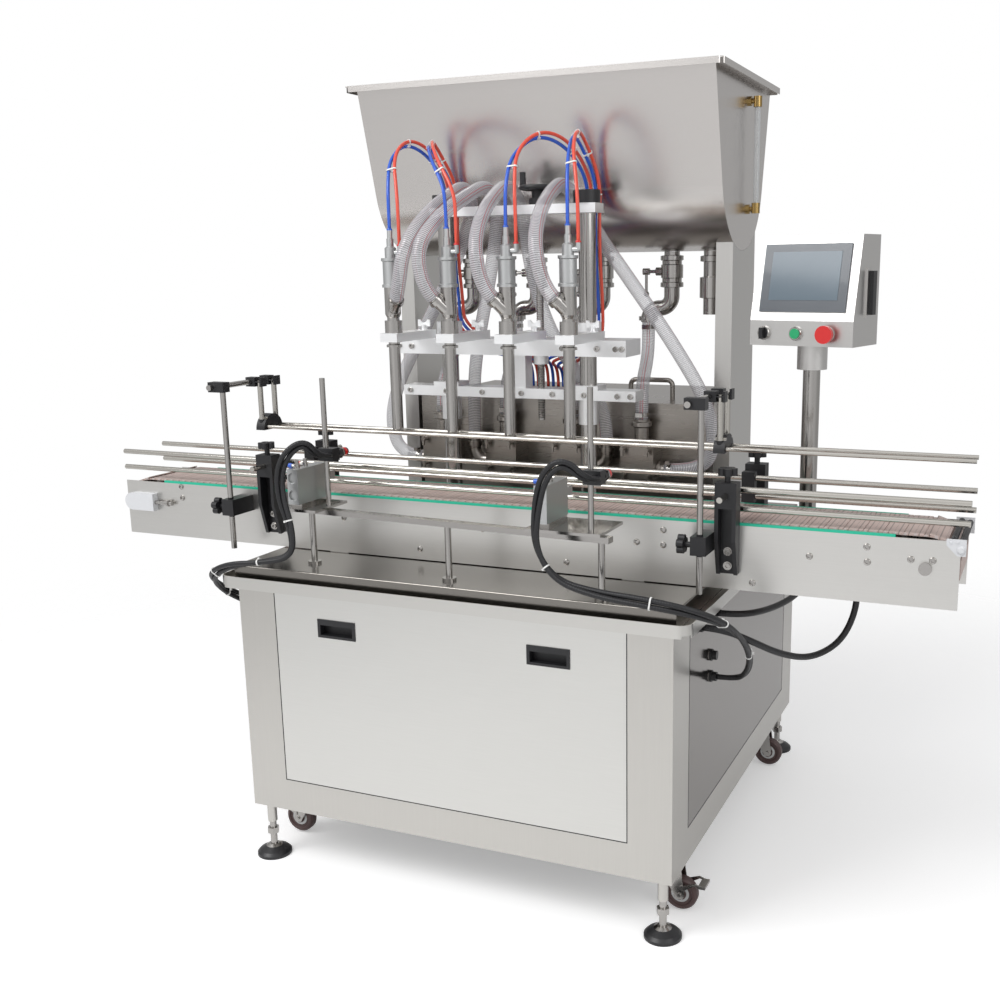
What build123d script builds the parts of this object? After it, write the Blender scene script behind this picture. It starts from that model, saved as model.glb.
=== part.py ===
from build123d import *
import math
import os

# Four-nozzle piston filling machine with a slat conveyor through its front.
# X runs along the conveyor, Y from the operator's side to the back, Z up.
# The origin is on the floor, under the middle of the conveyor.

os.makedirs("parts", exist_ok=True)

# Clearances
seat_gap = 0.3      # between a piece and the seat it rests in
run_fit = 0.05      # radial clearance of a shaft in its bearing

# Cabinet
cabinet_x = -16.0   # centre of the cabinet from the middle of the conveyor
cabinet_width = 1030.0
cabinet_depth = 1096.0
cabinet_bottom = 134.0
cabinet_top = 666.0
post_width = 97.0
post_depth = 110.0
rail_height = 78.0
rail_depth = 60.0
frame_wall = 3.0
panel_fold = 20.0
panel_sheet = 1.5

# Deck with its drip gutter
tray_width = 1106.0
tray_depth = 1140.0
tray_height = 27.0
tray_corner = 26.0
tray_sheet = 2.0
deck_width = 1042.0
deck_depth = 1100.0
deck_top = 715.0

# Pulls in the front panel
pull_width = 96.0
pull_height = 42.0
pull_z = 590.0
pull_left = -274.0
pull_right = 233.5

# Levelling feet
foot_inset = 27.0
foot_diameter = 80.0
foot_height = 26.0
stem_diameter = 16.0
boss_diameter = 22.0
boss_length = 50.0

# Castors
castor_inset_x = 52.0
castor_inset_y = 145.0
wheel_diameter = 75.0
wheel_width = 24.0
wheel_lift = 3.0
castor_trail = 28.0
axle_diameter = 8.0
fork_sheet = 3.0

# Conveyor
conveyor_length = 2004.0
conveyor_front = -368.0
conveyor_back = -162.0
plate_thick = 3.0
plate_bottom = 717.0
plate_top = 851.0
chain_width = 178.0
chain_top = 857.0
slat_pitch = 38.1
slat_thick = 4.0
sprocket_diameter = 118.0
shaft_diameter = 25.0
shaft_inset = 62.0
strip_height = 9.0
strip_thick = 4.0
strip_over = 5.0
strip_inset = 120.0

# Guide rails and the guard over the bottles
rail_diameter = 12.0
rail_length = 2032.0
rail_low = 882.0
rail_high = 921.0
front_rail_y = -350.0
back_rail_y = -212.0
bracket_x = (-551.0, 557.0)
bracket_width = 44.0
guard_rod_diameter = 9.0
guard_z = 992.0
guard_y = (-290.0, -240.0)
guard_left = -640.0
hanger_x = (-631.0, 514.0)
hanger_diameter = 13.0
hanger_top = 1108.0

# Filling head
head_x = -49.0
nozzle_pitch = 145.0
nozzle_y = -265.0
nozzle_tip = 993.0
nozzle_diameter = 26.0
post_y = -65.0
post_spacing = 363.0
guide_diameter = 40.0
tie_z = 1481.0        # underside of the plate that ties the posts
tie_height = 21.0
screw_x = 12.0
screw_diameter = 16.0

# Metering pumps
pump_pitch = 181.5
pump_y = 15.0
pump_depth = 75.0
pump_width = 84.0
pump_axis = 902.0
pump_bore = 64.0
pump_wall = 6.0
piston_stroke = 120.0
housing_left = -405.0
housing_right = 374.0
housing_back = 525.0
housing_top = 1035.0
housing_sheet = 2.0

# Hopper
hopper_x = -15.0
hopper_half = 445.0
hopper_y = 180.0
hopper_radius = 187.0
hopper_taper = 15.0
hopper_bottom = 1395.0
hopper_top = 1778.0
hopper_wall = 3.0
rim_width = 22.0
rim_height = 12.0
outlet_pitch = 181.0
outlet_bore = 34.0
outlet_pipe = 38.0
column_width = 40.0
column_front = 98.0
column_back = 302.0

# Stop gates and photo sensors
stop_x = (-386.0, 209.0)
stop_width = 28.0
stop_low = 858.0
stop_high = 936.0
stop_front = -520.0
stop_back = -411.0
beam_z = 838.0
beam_thick = 12.0
beam_posts = ((-374.0, -472.0), (-16.0, -497.0), (341.0, -522.0))
sensor_rods = ((-352.0, -436.0, 1129.0), (316.0, -514.0, 1136.0))
sensor_z = 960.0

# Operator's panel
pole_x = 640.0
pole_y = 2.0
pole_diameter = 38.0
box_width = 241.0
box_height = 234.0
box_top_depth = 94.0
box_lean = 37.0     # how far the screen's face leans back at its top
box_step = 54.0
box_bottom = 1188.0
box_turn = -13.6
box_sheet = 2.0
screen_width = 200.0
screen_height = 146.0

# Hoses, air tubes and cables
hose_diameter = 32.0
air_diameter = 8.0
loom_diameter = 14.0


def block(x, y, z):
    """A box from pairs of low and high coordinates."""
    size = (x[1] - x[0], y[1] - y[0], z[1] - z[0])
    centre = ((x[0] + x[1]) / 2, (y[0] + y[1]) / 2, (z[0] + z[1]) / 2)
    return Pos(*centre) * Box(*size)


def bar_z(x, y, z0, z1, diameter):
    return Pos(x, y, (z0 + z1) / 2) * Cylinder(diameter / 2, z1 - z0)


def bar_y(x, z, y0, y1, diameter):
    return Pos(x, (y0 + y1) / 2, z) * Rot(90, 0, 0) * Cylinder(diameter / 2, y1 - y0)


def bar_x(y, z, x0, x1, diameter):
    return Pos((x0 + x1) / 2, y, z) * Rot(0, 90, 0) * Cylinder(diameter / 2, x1 - x0)


def fuse(pieces):
    whole = pieces[0]
    for piece in pieces[1:]:
        whole = whole + piece
    return whole


def save(name, *pieces):
    """Write a node's solids to one STEP file."""
    solids = [solid for piece in pieces for solid in piece.solids()]
    whole = solids[0] if len(solids) == 1 else Compound(children=solids)
    export_step(whole, "parts/" + name + ".step")


def revolved(points, x=0.0, y=0.0, z=0.0):
    """A turned piece about a vertical axis, from radius and height pairs."""
    outline = make_face(Plane.XZ * Polyline(*points, close=True))
    return Pos(x, y, z) * revolve(outline, Axis.Z)


def along_x(points, x0, x1):
    """A prism along X from an outline of Y and Z pairs."""
    outline = make_face(Plane.YZ * Polyline(*points, close=True))
    return Pos(x0, 0, 0) * extrude(outline, x1 - x0, dir=(1, 0, 0))


def star(outer, inner, points):
    """A lobed knob outline."""
    rim = [Pos(inner, 0) * Circle(outer - inner)]
    lobes = [Rot(0, 0, index * 360 / points) * rim[0] for index in range(points)]
    return fuse([Circle(inner)] + lobes)


def cord(name, points, diameter):
    """A tube along straight runs joined by arcs as large as the runs allow."""
    path_points = [Vector(*point) for point in points]
    radii = []
    for before, here, after in zip(path_points, path_points[1:], path_points[2:]):
        into = here - before
        out = after - here
        turn = math.radians(into.get_angle(out))
        radii.append(0.45 * min(into.length, out.length) / math.tan(turn / 2))
    path = FilletPolyline(*path_points, radius=radii)
    start = Plane(origin=path @ 0, z_dir=path % 0)
    tube = sweep(start * Circle(diameter / 2), path=path)
    expected = math.pi * diameter ** 2 / 4 * path.length
    print(
        f"{name}: length {path.length:.0f}, tightest radius {min(radii):.0f}"
        f" ({min(radii) / diameter:.1f} diameters), volume ratio {tube.volume / expected:.4f}"
    )
    return tube


# Cabinet frame: hollow corner posts and rails, foot bosses and castor plates
left = cabinet_x - cabinet_width / 2
right = cabinet_x + cabinet_width / 2
front = -cabinet_depth / 2
back = cabinet_depth / 2
top_rail = 40.0
rail_set_back = panel_fold + 2


def frame_bars(inset):
    bars = []
    for side in (-1, 1):
        x_out = cabinet_x + side * cabinet_width / 2
        x_in = x_out - side * post_width
        for end in (-1, 1):
            y_out = end * cabinet_depth / 2
            y_in = y_out - end * post_depth
            xs = sorted((x_out - side * inset, x_in + side * inset))
            ys = sorted((y_out - end * inset, y_in + end * inset))
            bars.append(block(xs, ys, (cabinet_bottom + inset, cabinet_top - inset)))
        low = sorted((x_out - side * inset, x_out - side * (rail_depth - inset)))
        ys = (front + post_depth / 2, back - post_depth / 2)
        bars.append(block(low, ys, (cabinet_bottom + inset, cabinet_bottom + rail_height - inset)))
        high = sorted((x_out - side * (rail_set_back + inset), x_out - side * (rail_depth - inset)))
        bars.append(block(high, ys, (cabinet_top - top_rail + inset, cabinet_top - inset)))
    for end in (-1, 1):
        y_out = end * cabinet_depth / 2
        xs = (left + post_width / 2, right - post_width / 2)
        low = sorted((y_out - end * inset, y_out - end * (rail_depth - inset)))
        bars.append(block(xs, low, (cabinet_bottom + inset, cabinet_bottom + rail_height - inset)))
        high = sorted((y_out - end * (rail_set_back + inset), y_out - end * (rail_depth - inset)))
        bars.append(block(xs, high, (cabinet_top - top_rail + inset, cabinet_top - inset)))
    return fuse(bars)


feet_xy = []
castor_xy = []
for side in (-1, 1):
    for end in (-1, 1):
        feet_xy.append((
            cabinet_x + side * (cabinet_width / 2 - foot_inset),
            end * (cabinet_depth / 2 - foot_inset),
        ))
        castor_xy.append((
            cabinet_x + side * (cabinet_width / 2 - castor_inset_x),
            end * (cabinet_depth / 2 - castor_inset_y),
        ))

castor_plate = 6.0
kingpin_diameter = 12.0
kingpin_length = 22.0
frame = frame_bars(0) - frame_bars(frame_wall)
for x, y in feet_xy:
    boss = bar_z(x, y, cabinet_bottom - boss_length, cabinet_bottom, boss_diameter)
    bore = bar_z(x, y, cabinet_bottom - boss_length, cabinet_bottom, stem_diameter + 2 * seat_gap)
    frame = frame + (boss - bore)
plate_z = cabinet_bottom - castor_plate
for x, y in castor_xy:
    plate = block((x - 35, x + 35), (y - 30, y + 30), (plate_z, cabinet_bottom))
    frame = frame + plate + bar_z(x, y, plate_z - kingpin_length, plate_z, kingpin_diameter)
save("cabinet_frame", frame)

# Cabinet panels: folded pans in the frame's openings
opening_x = (left + post_width + seat_gap, right - post_width - seat_gap)
opening_y = (front + post_depth + seat_gap, back - post_depth - seat_gap)
opening_z = (cabinet_bottom + rail_height + seat_gap, cabinet_top - seat_gap)


def pan_y(y_face, inward):
    """A folded panel that faces along Y."""
    y_in = y_face + inward * panel_fold
    outer = block(opening_x, sorted((y_face, y_in)), opening_z)
    inner = block(
        (opening_x[0] + panel_sheet, opening_x[1] - panel_sheet),
        sorted((y_face + inward * panel_sheet, y_in + inward)),
        (opening_z[0] + panel_sheet, opening_z[1] - panel_sheet),
    )
    return outer - inner


def pan_x(x_face, inward):
    """A folded panel that faces along X."""
    x_in = x_face + inward * panel_fold
    outer = block(sorted((x_face, x_in)), opening_y, opening_z)
    inner = block(
        sorted((x_face + inward * panel_sheet, x_in + inward)),
        (opening_y[0] + panel_sheet, opening_y[1] - panel_sheet),
        (opening_z[0] + panel_sheet, opening_z[1] - panel_sheet),
    )
    return outer - inner


gland_diameter = 20.0
gland_holes = ((-290.0, 640.0), (-400.0, 640.0), (-290.0, 545.0), (-290.0, 497.0))
right_pan = pan_x(right, -1)
for y, z in gland_holes:
    right_pan = right_pan - bar_x(y, z, right - 5, right + 5, gland_diameter + 2 * seat_gap)
left_gland_holes = ((-400.0, 575.0), (-400.0, 530.0))
left_pan = pan_x(left, 1)
for y, z in left_gland_holes:
    left_pan = left_pan - bar_x(y, z, left - 5, left + 5, gland_diameter + 2 * seat_gap)
gland_length = 16.0
glands = []
for y, z in gland_holes:
    gland = bar_x(y, z, right - 6, right + gland_length, gland_diameter)
    glands.append(gland + bar_x(y, z, right, right + 6, gland_diameter + 6))
for y, z in left_gland_holes:
    gland = bar_x(y, z, left - gland_length, left + 6, gland_diameter)
    glands.append(gland + bar_x(y, z, left - 6, left, gland_diameter + 6))
save("cabinet_panels", left_pan, right_pan, pan_y(back, -1), *glands)

front_pan = pan_y(front, 1)
pull_body_x = pull_width / 2 - 3
pull_body_z = pull_height / 2 - 3
for x in (pull_left, pull_right):
    front_pan = front_pan - block(
        (x - pull_body_x - seat_gap, x + pull_body_x + seat_gap),
        (front - 1, front + panel_sheet + 1),
        (pull_z - pull_body_z - seat_gap, pull_z + pull_body_z + seat_gap),
    )
save("front_panel", front_pan)

# Flush pulls: a moulded cup with a flange over the panel and a lip to pull on
pull_flange = 2.0
pull_depth = 20.0
pulls = []
for x in (pull_left, pull_right):
    flange = block(
        (x - pull_width / 2, x + pull_width / 2),
        (front - pull_flange, front),
        (pull_z - pull_height / 2, pull_z + pull_height / 2),
    )
    cup = block(
        (x - pull_body_x, x + pull_body_x),
        (front, front + pull_depth),
        (pull_z - pull_body_z, pull_z + pull_body_z),
    )
    pocket = block(
        (x - pull_body_x + 4, x + pull_body_x - 4),
        (front - pull_flange - 1, front + pull_depth - 2),
        (pull_z - pull_body_z + 3, pull_z + pull_body_z - 10),
    )
    behind_lip = block(
        (x - pull_body_x + 4, x + pull_body_x - 4),
        (front + 3, front + pull_depth - 2),
        (pull_z - pull_body_z + 3, pull_z + pull_body_z - 2),
    )
    pulls.append(flange + cup - pocket - behind_lip)
save("panel_pulls", *pulls)

# Deck: a raised work surface inside a drip gutter with rounded corners
lip_top = cabinet_top + tray_height
gutter_floor = cabinet_top + 8


def across(width, depth, z0, z1):
    return block(
        (cabinet_x - width / 2, cabinet_x + width / 2), (-depth / 2, depth / 2), (z0, z1)
    )


tray = across(tray_width, tray_depth, cabinet_top, lip_top)
tray = fillet(tray.edges().filter_by(Axis.Z), tray_corner)
basin = across(tray_width - 2 * tray_sheet, tray_depth - 2 * tray_sheet, gutter_floor, lip_top + 1)
basin = fillet(basin.edges().filter_by(Axis.Z), tray_corner - tray_sheet)
raised = across(deck_width, deck_depth, gutter_floor - 1, deck_top)
raised = fillet(raised.edges().group_by(Axis.Z)[-1], 3)
hollow = across(
    deck_width - 2 * tray_sheet, deck_depth - 2 * tray_sheet, cabinet_top, deck_top - tray_sheet
)
under_gutter = across(
    tray_width - 2 * tray_sheet, tray_depth - 2 * tray_sheet, cabinet_top - 1, gutter_floor - tray_sheet
)
rest_strip = across(cabinet_width + 20, cabinet_depth + 20, cabinet_top, gutter_floor - tray_sheet)
rest_strip = rest_strip - across(deck_width - 160, deck_depth - 160, cabinet_top - 1, gutter_floor)
deck = tray - basin + raised - hollow - under_gutter + rest_strip
save("deck_tray", deck)

# Levelling feet: a domed pad, a stem that screws into the frame's boss and a lock nut
stem_top = cabinet_bottom - 4
pad_profile = (
    (0, 0), (foot_diameter / 2, 0), (foot_diameter / 2, 7), (foot_diameter / 2 - 6, 13),
    (foot_diameter / 4, 21), (stem_diameter / 2 + 4, foot_height), (stem_diameter / 2, foot_height),
    (stem_diameter / 2, stem_top), (0, stem_top),
)
lock_nut_z = 53.0
feet = []
for x, y in feet_xy:
    nut = Pos(x, y, lock_nut_z) * extrude(RegularPolygon(14, 6), 14)
    feet.append(revolved(pad_profile, x, y) + nut)
save("levelling_feet", *feet)

# Castors: a fork that swivels on the kingpin and a wheel on its axle
wheel_z = wheel_diameter / 2 + wheel_lift
cup_bottom = plate_z - kingpin_length
leg_gap = wheel_width / 2 + 1.5
for number, (x, y) in enumerate(castor_xy, start=1):
    outward = 1 if x > cabinet_x else -1
    wheel_x = x + outward * castor_trail
    cup = bar_z(x, y, cup_bottom, plate_z - seat_gap, 46)
    cup = cup - bar_z(x, y, cup_bottom - 1, plate_z, kingpin_diameter + 2 * run_fit)
    bridge = block(
        sorted((x - outward * 24, x + outward * 30)),
        (y - leg_gap - fork_sheet, y + leg_gap + fork_sheet),
        (cup_bottom - 4, cup_bottom),
    )
    bridge = bridge - bar_z(x, y, cup_bottom - 5, cup_bottom, kingpin_diameter + 2 * run_fit)
    legs = []
    for end in (-1, 1):
        leg = Plane.XZ * Polyline(
            (x - outward * 24, cup_bottom), (x + outward * 30, cup_bottom),
            (wheel_x + outward * 12, wheel_z), (wheel_x + outward * 7, wheel_z - 10),
            (wheel_x - outward * 7, wheel_z - 10), (wheel_x - outward * 12, wheel_z),
            close=True,
        )
        y_leg = y + end * (leg_gap + fork_sheet / 2)
        legs.append(Pos(0, y_leg, 0) * extrude(make_face(leg), fork_sheet / 2, both=True))
    axle = bar_y(wheel_x, wheel_z, y - leg_gap - fork_sheet - 4, y + leg_gap + fork_sheet + 4, axle_diameter)
    fork = fuse([cup, bridge, axle] + legs)
    if y < 0:
        pedal_root = wheel_x + outward * 2
        arm = Plane.XZ * Polyline(
            (pedal_root, wheel_z + 22), (pedal_root + outward * 34, wheel_z + 34),
            (pedal_root + outward * 52, wheel_z + 28), (pedal_root + outward * 52, wheel_z + 24),
            (pedal_root + outward * 34, wheel_z + 29), (pedal_root, wheel_z + 8),
            close=True,
        )
        for end in (-1, 1):
            y_arm = y + end * (leg_gap + fork_sheet + 1.5)
            fork = fork + Pos(0, y_arm, 0) * extrude(make_face(arm), 1.5, both=True)
        tread = block(
            sorted((pedal_root + outward * 40, pedal_root + outward * 56)),
            (y - leg_gap - fork_sheet - 3, y + leg_gap + fork_sheet + 3),
            (wheel_z + 24, wheel_z + 30),
        )
        fork = fork + tread
    save(f"castor_fork_{number}", fork)
    half = wheel_width / 2
    tyre_profile = (
        (axle_diameter / 2 + run_fit, -half), (14, -half), (14, -half + 3), (26, -half + 3),
        (28, -half), (wheel_diameter / 2 - 4, -half), (wheel_diameter / 2, -half + 5),
        (wheel_diameter / 2, half - 5), (wheel_diameter / 2 - 4, half), (28, half),
        (26, half - 3), (14, half - 3), (14, half), (axle_diameter / 2 + run_fit, half),
    )
    wheel = Pos(wheel_x, y, wheel_z) * Rot(90, 0, 0) * revolved(tyre_profile)
    save(f"castor_wheel_{number}", wheel)

# Conveyor: two side plates tied by cross bars, carried on the deck by feet
conveyor_half = conveyor_length / 2
shaft_x = conveyor_half - shaft_inset
track_radius = sprocket_diameter / 2
shaft_z = chain_top - slat_thick - track_radius
bearing_bore = shaft_diameter + 2 * run_fit
plates = []
for y in (conveyor_front, conveyor_back - plate_thick):
    plate = block((-conveyor_half, conveyor_half), (y, y + plate_thick), (plate_bottom, plate_top))
    for x in (-shaft_x, shaft_x):
        plate = plate - bar_y(x, shaft_z, y - 1, y + plate_thick + 1, bearing_bore)
    plates.append(plate)
inside_y = (conveyor_front + plate_thick, conveyor_back - plate_thick)
cross_bar_x = (-720.0, -360.0, 0.0, 360.0, 720.0)
conveyor_feet_x = (-380.0, 350.0)
cross_bar_z = shaft_z
ties = [block((x - 15, x + 15), inside_y, (cross_bar_z - 8, cross_bar_z + 8)) for x in cross_bar_x]
bed_top = chain_top - slat_thick
bed_half = shaft_x - track_radius - 20
bed = [
    block((-bed_half, bed_half), (y - 12, y + 12), (cross_bar_z + 8, bed_top - seat_gap))
    for y in (inside_y[0] + 45, inside_y[1] - 45)
]
conveyor_frame = fuse(plates + ties + bed)
feet_under = fuse([
    block((x - 25, x + 25), inside_y, (deck_top, deck_top + 14)) for x in conveyor_feet_x
])
save("conveyor_frame", conveyor_frame + feet_under)

# Slat chain: flat slats with gaps between them, on two link strands round the shafts
chain_y = (conveyor_front + conveyor_back) / 2
slat_y = (chain_y - chain_width / 2, chain_y + chain_width / 2)
loop_radius = track_radius + slat_thick
link_y = (slat_y[0] + 22, slat_y[1] - 22)


def stadium(radius, y0, y1):
    """A closed loop round both shafts, solid inside."""
    middle = block((-shaft_x, shaft_x), (y0, y1), (shaft_z - radius, shaft_z + radius))
    return fuse([middle, bar_y(-shaft_x, shaft_z, y0, y1, 2 * radius), bar_y(shaft_x, shaft_z, y0, y1, 2 * radius)])


belt = stadium(loop_radius - 1.6, *slat_y) - stadium(loop_radius - slat_thick, slat_y[0] - 1, slat_y[1] + 1)
run_length = 2 * shaft_x
slats_on_run = int(run_length // slat_pitch)
first_slat = -slats_on_run * slat_pitch / 2
slat_body = slat_pitch - 1.4
slats = []
for index in range(slats_on_run):
    x0 = first_slat + index * slat_pitch + 0.7
    for z0 in (shaft_z + loop_radius - 1.6, shaft_z - loop_radius):
        slats.append(block((x0, x0 + slat_body), slat_y, (z0, z0 + 1.6)))
slats_on_turn = 5
for sign in (-1, 1):
    for index in range(slats_on_turn):
        angle = (index + 0.5) * 180 / slats_on_turn
        slat = Pos(0, 0, loop_radius - 1.2) * Box(slat_body, chain_width, 2.4)
        slat = Rot(0, sign * angle, 0) * slat
        slats.append(Pos(sign * shaft_x, chain_y, shaft_z) * slat)
save("slat_chain", fuse([belt] + slats))

# Wear strips that guide the chain's edges: an angle over the top of each side plate
strip_half = conveyor_half - strip_inset
strip_top = plate_top + strip_over
strips = []
for y_plate, y_inner in (
    ((conveyor_front, inside_y[0]), (inside_y[0], inside_y[0] + strip_thick)),
    ((inside_y[1], conveyor_back), (inside_y[1] - strip_thick, inside_y[1])),
):
    cap = block((-strip_half, strip_half), y_plate, (plate_top, strip_top))
    skirt = block((-strip_half, strip_half), y_inner, (strip_top - strip_height, strip_top))
    strips.append(cap + skirt)
save("wear_strips", *strips)

# Shafts with two toothed sprockets each
sprocket_y = (chain_y - 45, chain_y + 45)
sprocket_width = 16.0
teeth = 12


def sprocket_shaft(x, y0, y1):
    shaft = bar_y(x, shaft_z, y0, y1, shaft_diameter)
    root = track_radius - 7
    for y in sprocket_y:
        wheel = bar_y(x, shaft_z, y - sprocket_width / 2, y + sprocket_width / 2, 2 * root)
        for index in range(teeth):
            tooth = Pos(0, 0, root + 2) * Box(8, sprocket_width, 8)
            wheel = wheel + Pos(x, y, shaft_z) * Rot(0, index * 360 / teeth, 0) * tooth
        shaft = shaft + wheel
    return shaft


motor_face = conveyor_back + 8
save("drive_shaft", sprocket_shaft(shaft_x, conveyor_front - 6, motor_face + 60))
save("idler_shaft", sprocket_shaft(-shaft_x, conveyor_front - 6, conveyor_back + 6))

# Gear motor on the back plate, hollow shaft on the drive shaft
gear_case = block((shaft_x - 52, shaft_x + 30), (conveyor_back, motor_face + 72), (shaft_z - 48, shaft_z + 34))
gear_case = fillet(gear_case.edges().filter_by(Axis.Y), 10)
gear_case = gear_case - bar_y(shaft_x, shaft_z, conveyor_back - 1, motor_face + 62, bearing_bore)
motor_y = motor_face + 36
motor_z = shaft_z - 12
motor_body = bar_x(motor_y, motor_z, shaft_x - 190, shaft_x - 52, 66)
motor_cap = bar_x(motor_y, motor_z, shaft_x - 206, shaft_x - 190, 60)
gland_x = shaft_x - 160
terminal = block((gland_x - 18, gland_x + 18), (motor_y - 18, motor_y + 18), (shaft_z - 60, shaft_z - 30))
save("conveyor_gearmotor", fuse([gear_case, motor_body, motor_cap, terminal]))

# Rail brackets: tapered moulded arms bolted to the side plates, with a clamp knob on top
rod_z = (rail_low + rail_high) / 2 + 14
arm_foot = plate_bottom + 36
arm_top = rod_z + 26


def bracket(x, y_plate, outward):
    """A tapered arm with a rib on each edge and a waist pocket."""
    outline = (
        (y_plate, arm_foot), (y_plate + outward * 14, arm_foot - 2), (y_plate + outward * 34, arm_foot + 70),
        (y_plate + outward * 34, arm_top), (y_plate, arm_top),
    )
    arm = along_x(outline, x - bracket_width / 2, x + bracket_width / 2)
    pocket = block(
        (x - bracket_width / 2 + 8, x + bracket_width / 2 - 8),
        sorted((y_plate + outward * 8, y_plate + outward * 40)),
        (arm_foot - 5, rod_z - 26),
    )
    bore = bar_y(x, rod_z, *sorted((y_plate - outward, y_plate + outward * 40)), rail_diameter + 2 * seat_gap)
    knob_stem = bar_z(x, y_plate + outward * 18, arm_top, arm_top + 14, 12)
    knob = Pos(x, y_plate + outward * 18, arm_top + 14) * extrude(star(20, 12, 5), 14)
    return fuse([arm - pocket - bore, knob_stem, knob])


brackets = []
for x in bracket_x:
    brackets.append(bracket(x, conveyor_front, -1))
    brackets.append(bracket(x, conveyor_back, 1))
save("rail_brackets", *brackets)

# Guide rails: two rods in clamp blocks, pushed in and out on cross rods
rail_clamp_width = 28.0
rail_clamp_half = 10.0
rail_clamp_over = 13.0


def guide_rails(y_rail, y_end, outward):
    """The two rods of one side, and a clamp with its cross rod at each bracket."""
    pieces = [
        bar_x(y_rail, z, -rail_length / 2, rail_length / 2, rail_diameter) for z in (rail_low, rail_high)
    ]
    for x in bracket_x:
        clamp = block(
            (x - rail_clamp_width / 2, x + rail_clamp_width / 2),
            (y_rail - rail_clamp_half, y_rail + rail_clamp_half),
            (rail_low - rail_clamp_over, rail_high + rail_clamp_over),
        )
        for z in (rail_low, rail_high):
            clamp = clamp - bar_x(y_rail, z, x - rail_clamp_width, x + rail_clamp_width, rail_diameter + 2 * seat_gap)
        pieces.append(clamp)
        pieces.append(bar_y(x, rod_z, *sorted((y_rail + outward * rail_clamp_half, y_end)), rail_diameter))
    return pieces


rail_rod_reach = 78.0
save("front_guide_rails", *guide_rails(front_rail_y, conveyor_front - rail_rod_reach, -1))
save("back_guide_rails", *guide_rails(back_rail_y, conveyor_back + rail_rod_reach, 1))

# Guard over the bottles: rods in half-round shoes, and hangers that stand in the shoes
shoe_over = 12.0        # how far a shoe reaches past the rods
shoe_thick = 24.0
hanger_sink = 8.0       # how deep a hanger stands in its shoe
shoe_y = (guard_y[0] - shoe_over, guard_y[1] + shoe_over)
shoe_radius = (shoe_y[1] - shoe_y[0]) / 2
shoe_z = guard_z - 8
hanger_y = (guard_y[0] - 2, guard_y[1] + 2)
hanger_rise = math.sqrt(shoe_radius ** 2 - (hanger_y[1] - (shoe_y[0] + shoe_y[1]) / 2) ** 2)
hanger_bottom = shoe_z + hanger_rise - hanger_sink
guard = [bar_x(y, guard_z, guard_left, rail_length / 2, guard_rod_diameter) for y in guard_y]
for x in hanger_x:
    shoe = bar_x((shoe_y[0] + shoe_y[1]) / 2, shoe_z, x - shoe_thick / 2, x + shoe_thick / 2, 2 * shoe_radius)
    shoe = shoe - block((x - 20, x + 20), (shoe_y[0] - 5, shoe_y[1] + 5), (shoe_z - 60, shoe_z))
    for y in guard_y:
        shoe = shoe - bar_x(y, guard_z, x - shoe_thick, x + shoe_thick, guard_rod_diameter + 2 * seat_gap)
    for y in hanger_y:
        shoe = shoe - bar_z(x, y, hanger_bottom - seat_gap, hanger_top, hanger_diameter + 2 * seat_gap)
        guard.append(bar_z(x, y, hanger_bottom, hanger_top - 4, hanger_diameter))
    guard.append(shoe)
save("bottle_guard", *guard)

# Guard stands: a post clamped to the side plate, a cross rod and the hanger clamps
stand_y = -430.0
stand_bottom = deck_top + 4
cross_z = hanger_top - 8
cross_offset = 22.0     # from the post to the cross rod beside it
jaw_half = 11.0
jaw_face = hanger_diameter / 2 + seat_gap
jaw_screw = 3.0
jaw_screw_y = jaw_face + jaw_screw / 2 + seat_gap
plate_clamp_z = (800.0, 838.0)
stand_knob_z = (plate_clamp_z[0] + plate_clamp_z[1]) / 2
stands = []
for x in hanger_x:
    cross_x = x - cross_offset
    post = bar_z(x, stand_y, stand_bottom, hanger_top, hanger_diameter)
    post_hole = bar_z(x, stand_y, stand_bottom, hanger_top + seat_gap, hanger_diameter + 2 * seat_gap)
    cross = bar_y(cross_x, cross_z, stand_y - cross_offset, guard_y[1] + 40, hanger_diameter)
    cross_hole = bar_y(cross_x, cross_z, stand_y - 2 * cross_offset, guard_y[1] + 50, hanger_diameter + 2 * seat_gap)
    top_clamp = block((x - 32, x + 11), (stand_y - 12, stand_y + 12), (cross_z - 11, cross_z + 12))
    plate_clamp = block((x - 16, x + 16), (stand_y - 14, conveyor_front), plate_clamp_z)
    knob_stem = bar_x(stand_y, stand_knob_z, x - 30, x - 16, 12)
    knob = Pos(x - 30, stand_y, stand_knob_z) * Rot(0, -90, 0) * extrude(star(20, 12, 5), 14)
    stands += [post, cross, top_clamp - post_hole - cross_hole, plate_clamp - post_hole, knob_stem + knob]
    for y in hanger_y:
        jaw_z = (cross_z - jaw_half, cross_z + jaw_half)
        inner_jaw = block((cross_x - jaw_half, x - jaw_face), (y - jaw_half, y + jaw_half), jaw_z)
        stands.append(inner_jaw - cross_hole)
        stands.append(block((x + jaw_face, x + jaw_face + 5), (y - jaw_half, y + jaw_half), jaw_z))
        for side in (-1, 1):
            screw_y = y + side * jaw_screw_y
            stands.append(bar_x(screw_y, cross_z, x - jaw_face, x + jaw_face, jaw_screw))
save("guard_stands", *stands)

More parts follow.
